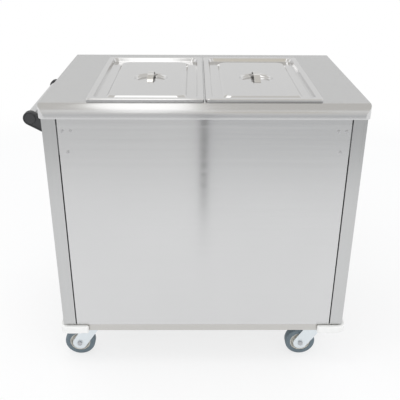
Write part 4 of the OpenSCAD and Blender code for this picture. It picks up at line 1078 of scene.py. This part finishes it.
def printed_number(text, place, size):
    """A number printed on the panel, as a thin raised mesh that faces the operator."""
    letters = bpy.data.curves.new("number", "FONT")
    letters.body = text
    letters.size = size
    letters.extrude = 0.1 * mm
    letters.align_x = "CENTER"
    letters.align_y = "CENTER"
    writing = bpy.data.objects.new("number", letters)
    scene.collection.objects.link(writing)
    bpy.context.view_layer.update()
    mesh = bpy.data.meshes.new_from_object(writing.evaluated_get(bpy.context.evaluated_depsgraph_get()))
    form = bmesh.new()
    form.from_mesh(mesh)
    facing = Matrix(((-1, 0, 0), (0, 0, 1), (0, 1, 0))).to_4x4()
    bmesh.ops.transform(form, matrix=Matrix.Translation(place) @ facing, verts=form.verts)
    bpy.data.objects.remove(writing)
    bpy.data.meshes.remove(mesh)
    return form


for name in ("well", "cupboard"):
    low, high = corners_of(f"knob_{name}")
    centre = Vector(((low.x + high.x) / 2, low.y, (low.z + high.z) / 2))
    radius = (high.x - low.x) / 2
    height = high.y - low.y
    barrel_height = height - grip_rise
    form = bmesh.new()
    lathe(form, rounded_path((
        (spindle_radius, 0, 0), (radius, 0, 0.5 * mm), (radius, skirt_height, 2 * mm),
        (radius - barrel_in + 1 * mm, skirt_height + skirt_slope, 1.5 * mm),
        (radius - barrel_in, barrel_height, 1.5 * mm), (spindle_radius, barrel_height, 0),
    ), closed=True, steps=4), centre, steps=72)
    grip = moved(rectangle_outline(grip_half_width, radius - grip_ends_in, grip_corner, 6),
                 centre.x, centre.z)
    soft_slab(form, grip, centre.y + 2 * mm, centre.y + height, 1.2 * mm, upright=True)
    even_shading(piece_from(form, f"knob_{name}_moulded", knob_plastic, f"knob_{name}"))

    unit = bmesh.new()
    flute = rectangle_outline(flute_radius, flute_radius, flute_radius - 0.05 * mm, 3)
    soft_slab(unit, flute, skirt_height, barrel_height - 1 * mm, 0.6 * mm, steps=2)
    flute_places = []
    reach = radius - flutes_in
    for number in range(flutes):
        turn = 2 * math.pi * (number + 0.5) / flutes
        flute_places.append(((centre.x + reach * math.sin(turn), centre.y,
                              centre.z + reach * math.cos(turn)), (-math.pi / 2, 0, 0)))
    form = repeated(unit, flute_places, knob_plastic)
    even_shading(piece_from(form, f"knob_{name}_flutes", knob_plastic, body=f"{name}_knob",
                            slot="black_plastic"))

    form = bmesh.new()
    top = centre.y + height
    pointer = moved(rectangle_outline(*pointer_half, 0.6 * mm, 3),
                    centre.x, centre.z + radius - pointer_in)
    soft_slab(form, pointer, top - 0.3 * mm, top + 0.15 * mm, 0.05 * mm, upright=True, steps=1)
    piece_from(form, f"knob_{name}_pointer", white_ink, body=f"{name}_knob", slot="black_plastic")

    unit = bmesh.new()
    line = rectangle_outline(*line_half, 0.3 * mm, 2)
    soft_slab(unit, line, -print_root, print_rise, 0.02 * mm, steps=1)
    turns = [dial_turn * number / (dial_lines - 1) for number in range(dial_lines)]
    line_places = [(on_dial(centre, lines_radius, turn), (-math.pi / 2, -turn, 0)) for turn in turns]
    form = repeated(unit, line_places, ink)
    for number, turn in enumerate(turns[::2]):
        add_form(form, printed_number(str(number), on_dial(centre, numbers_radius, turn), number_size))
    piece_from(form, f"dial_{name}", ink, body="cabinet", slot="black_plastic")

low, high = corners_of("indicator_lamp")
centre = Vector(((low.x + high.x) / 2, panel_face, (low.z + high.z) / 2))
form = bmesh.new()
lathe(form, rounded_path(in_metres((
    (0, -22.0, 0), (5.0, -22.0, 0.5), (5.0, -1.0, 0), (5.5, 0.2, 0), (5.5, 2.5, 0.3), (4.8, 4.0, 1.0),
    (2.6, 4.8, 0.8), (0, 5.0, 0),
)), steps=5), centre, steps=48)
even_shading(piece_from(form, "indicator_lamp_lens", lamp_plastic, "indicator_lamp"))
form = bmesh.new()
lathe(form, rounded_path(in_metres(((5.4, 0.0, 0), (7.0, 0.0, 0.2), (6.8, 2.0, 0.5), (5.4, 2.2, 0.5))),
                         closed=True, steps=4), centre, steps=48)
even_shading(piece_from(form, "indicator_lamp_ring", switch_plastic, body="cabinet",
                        slot="black_plastic"))
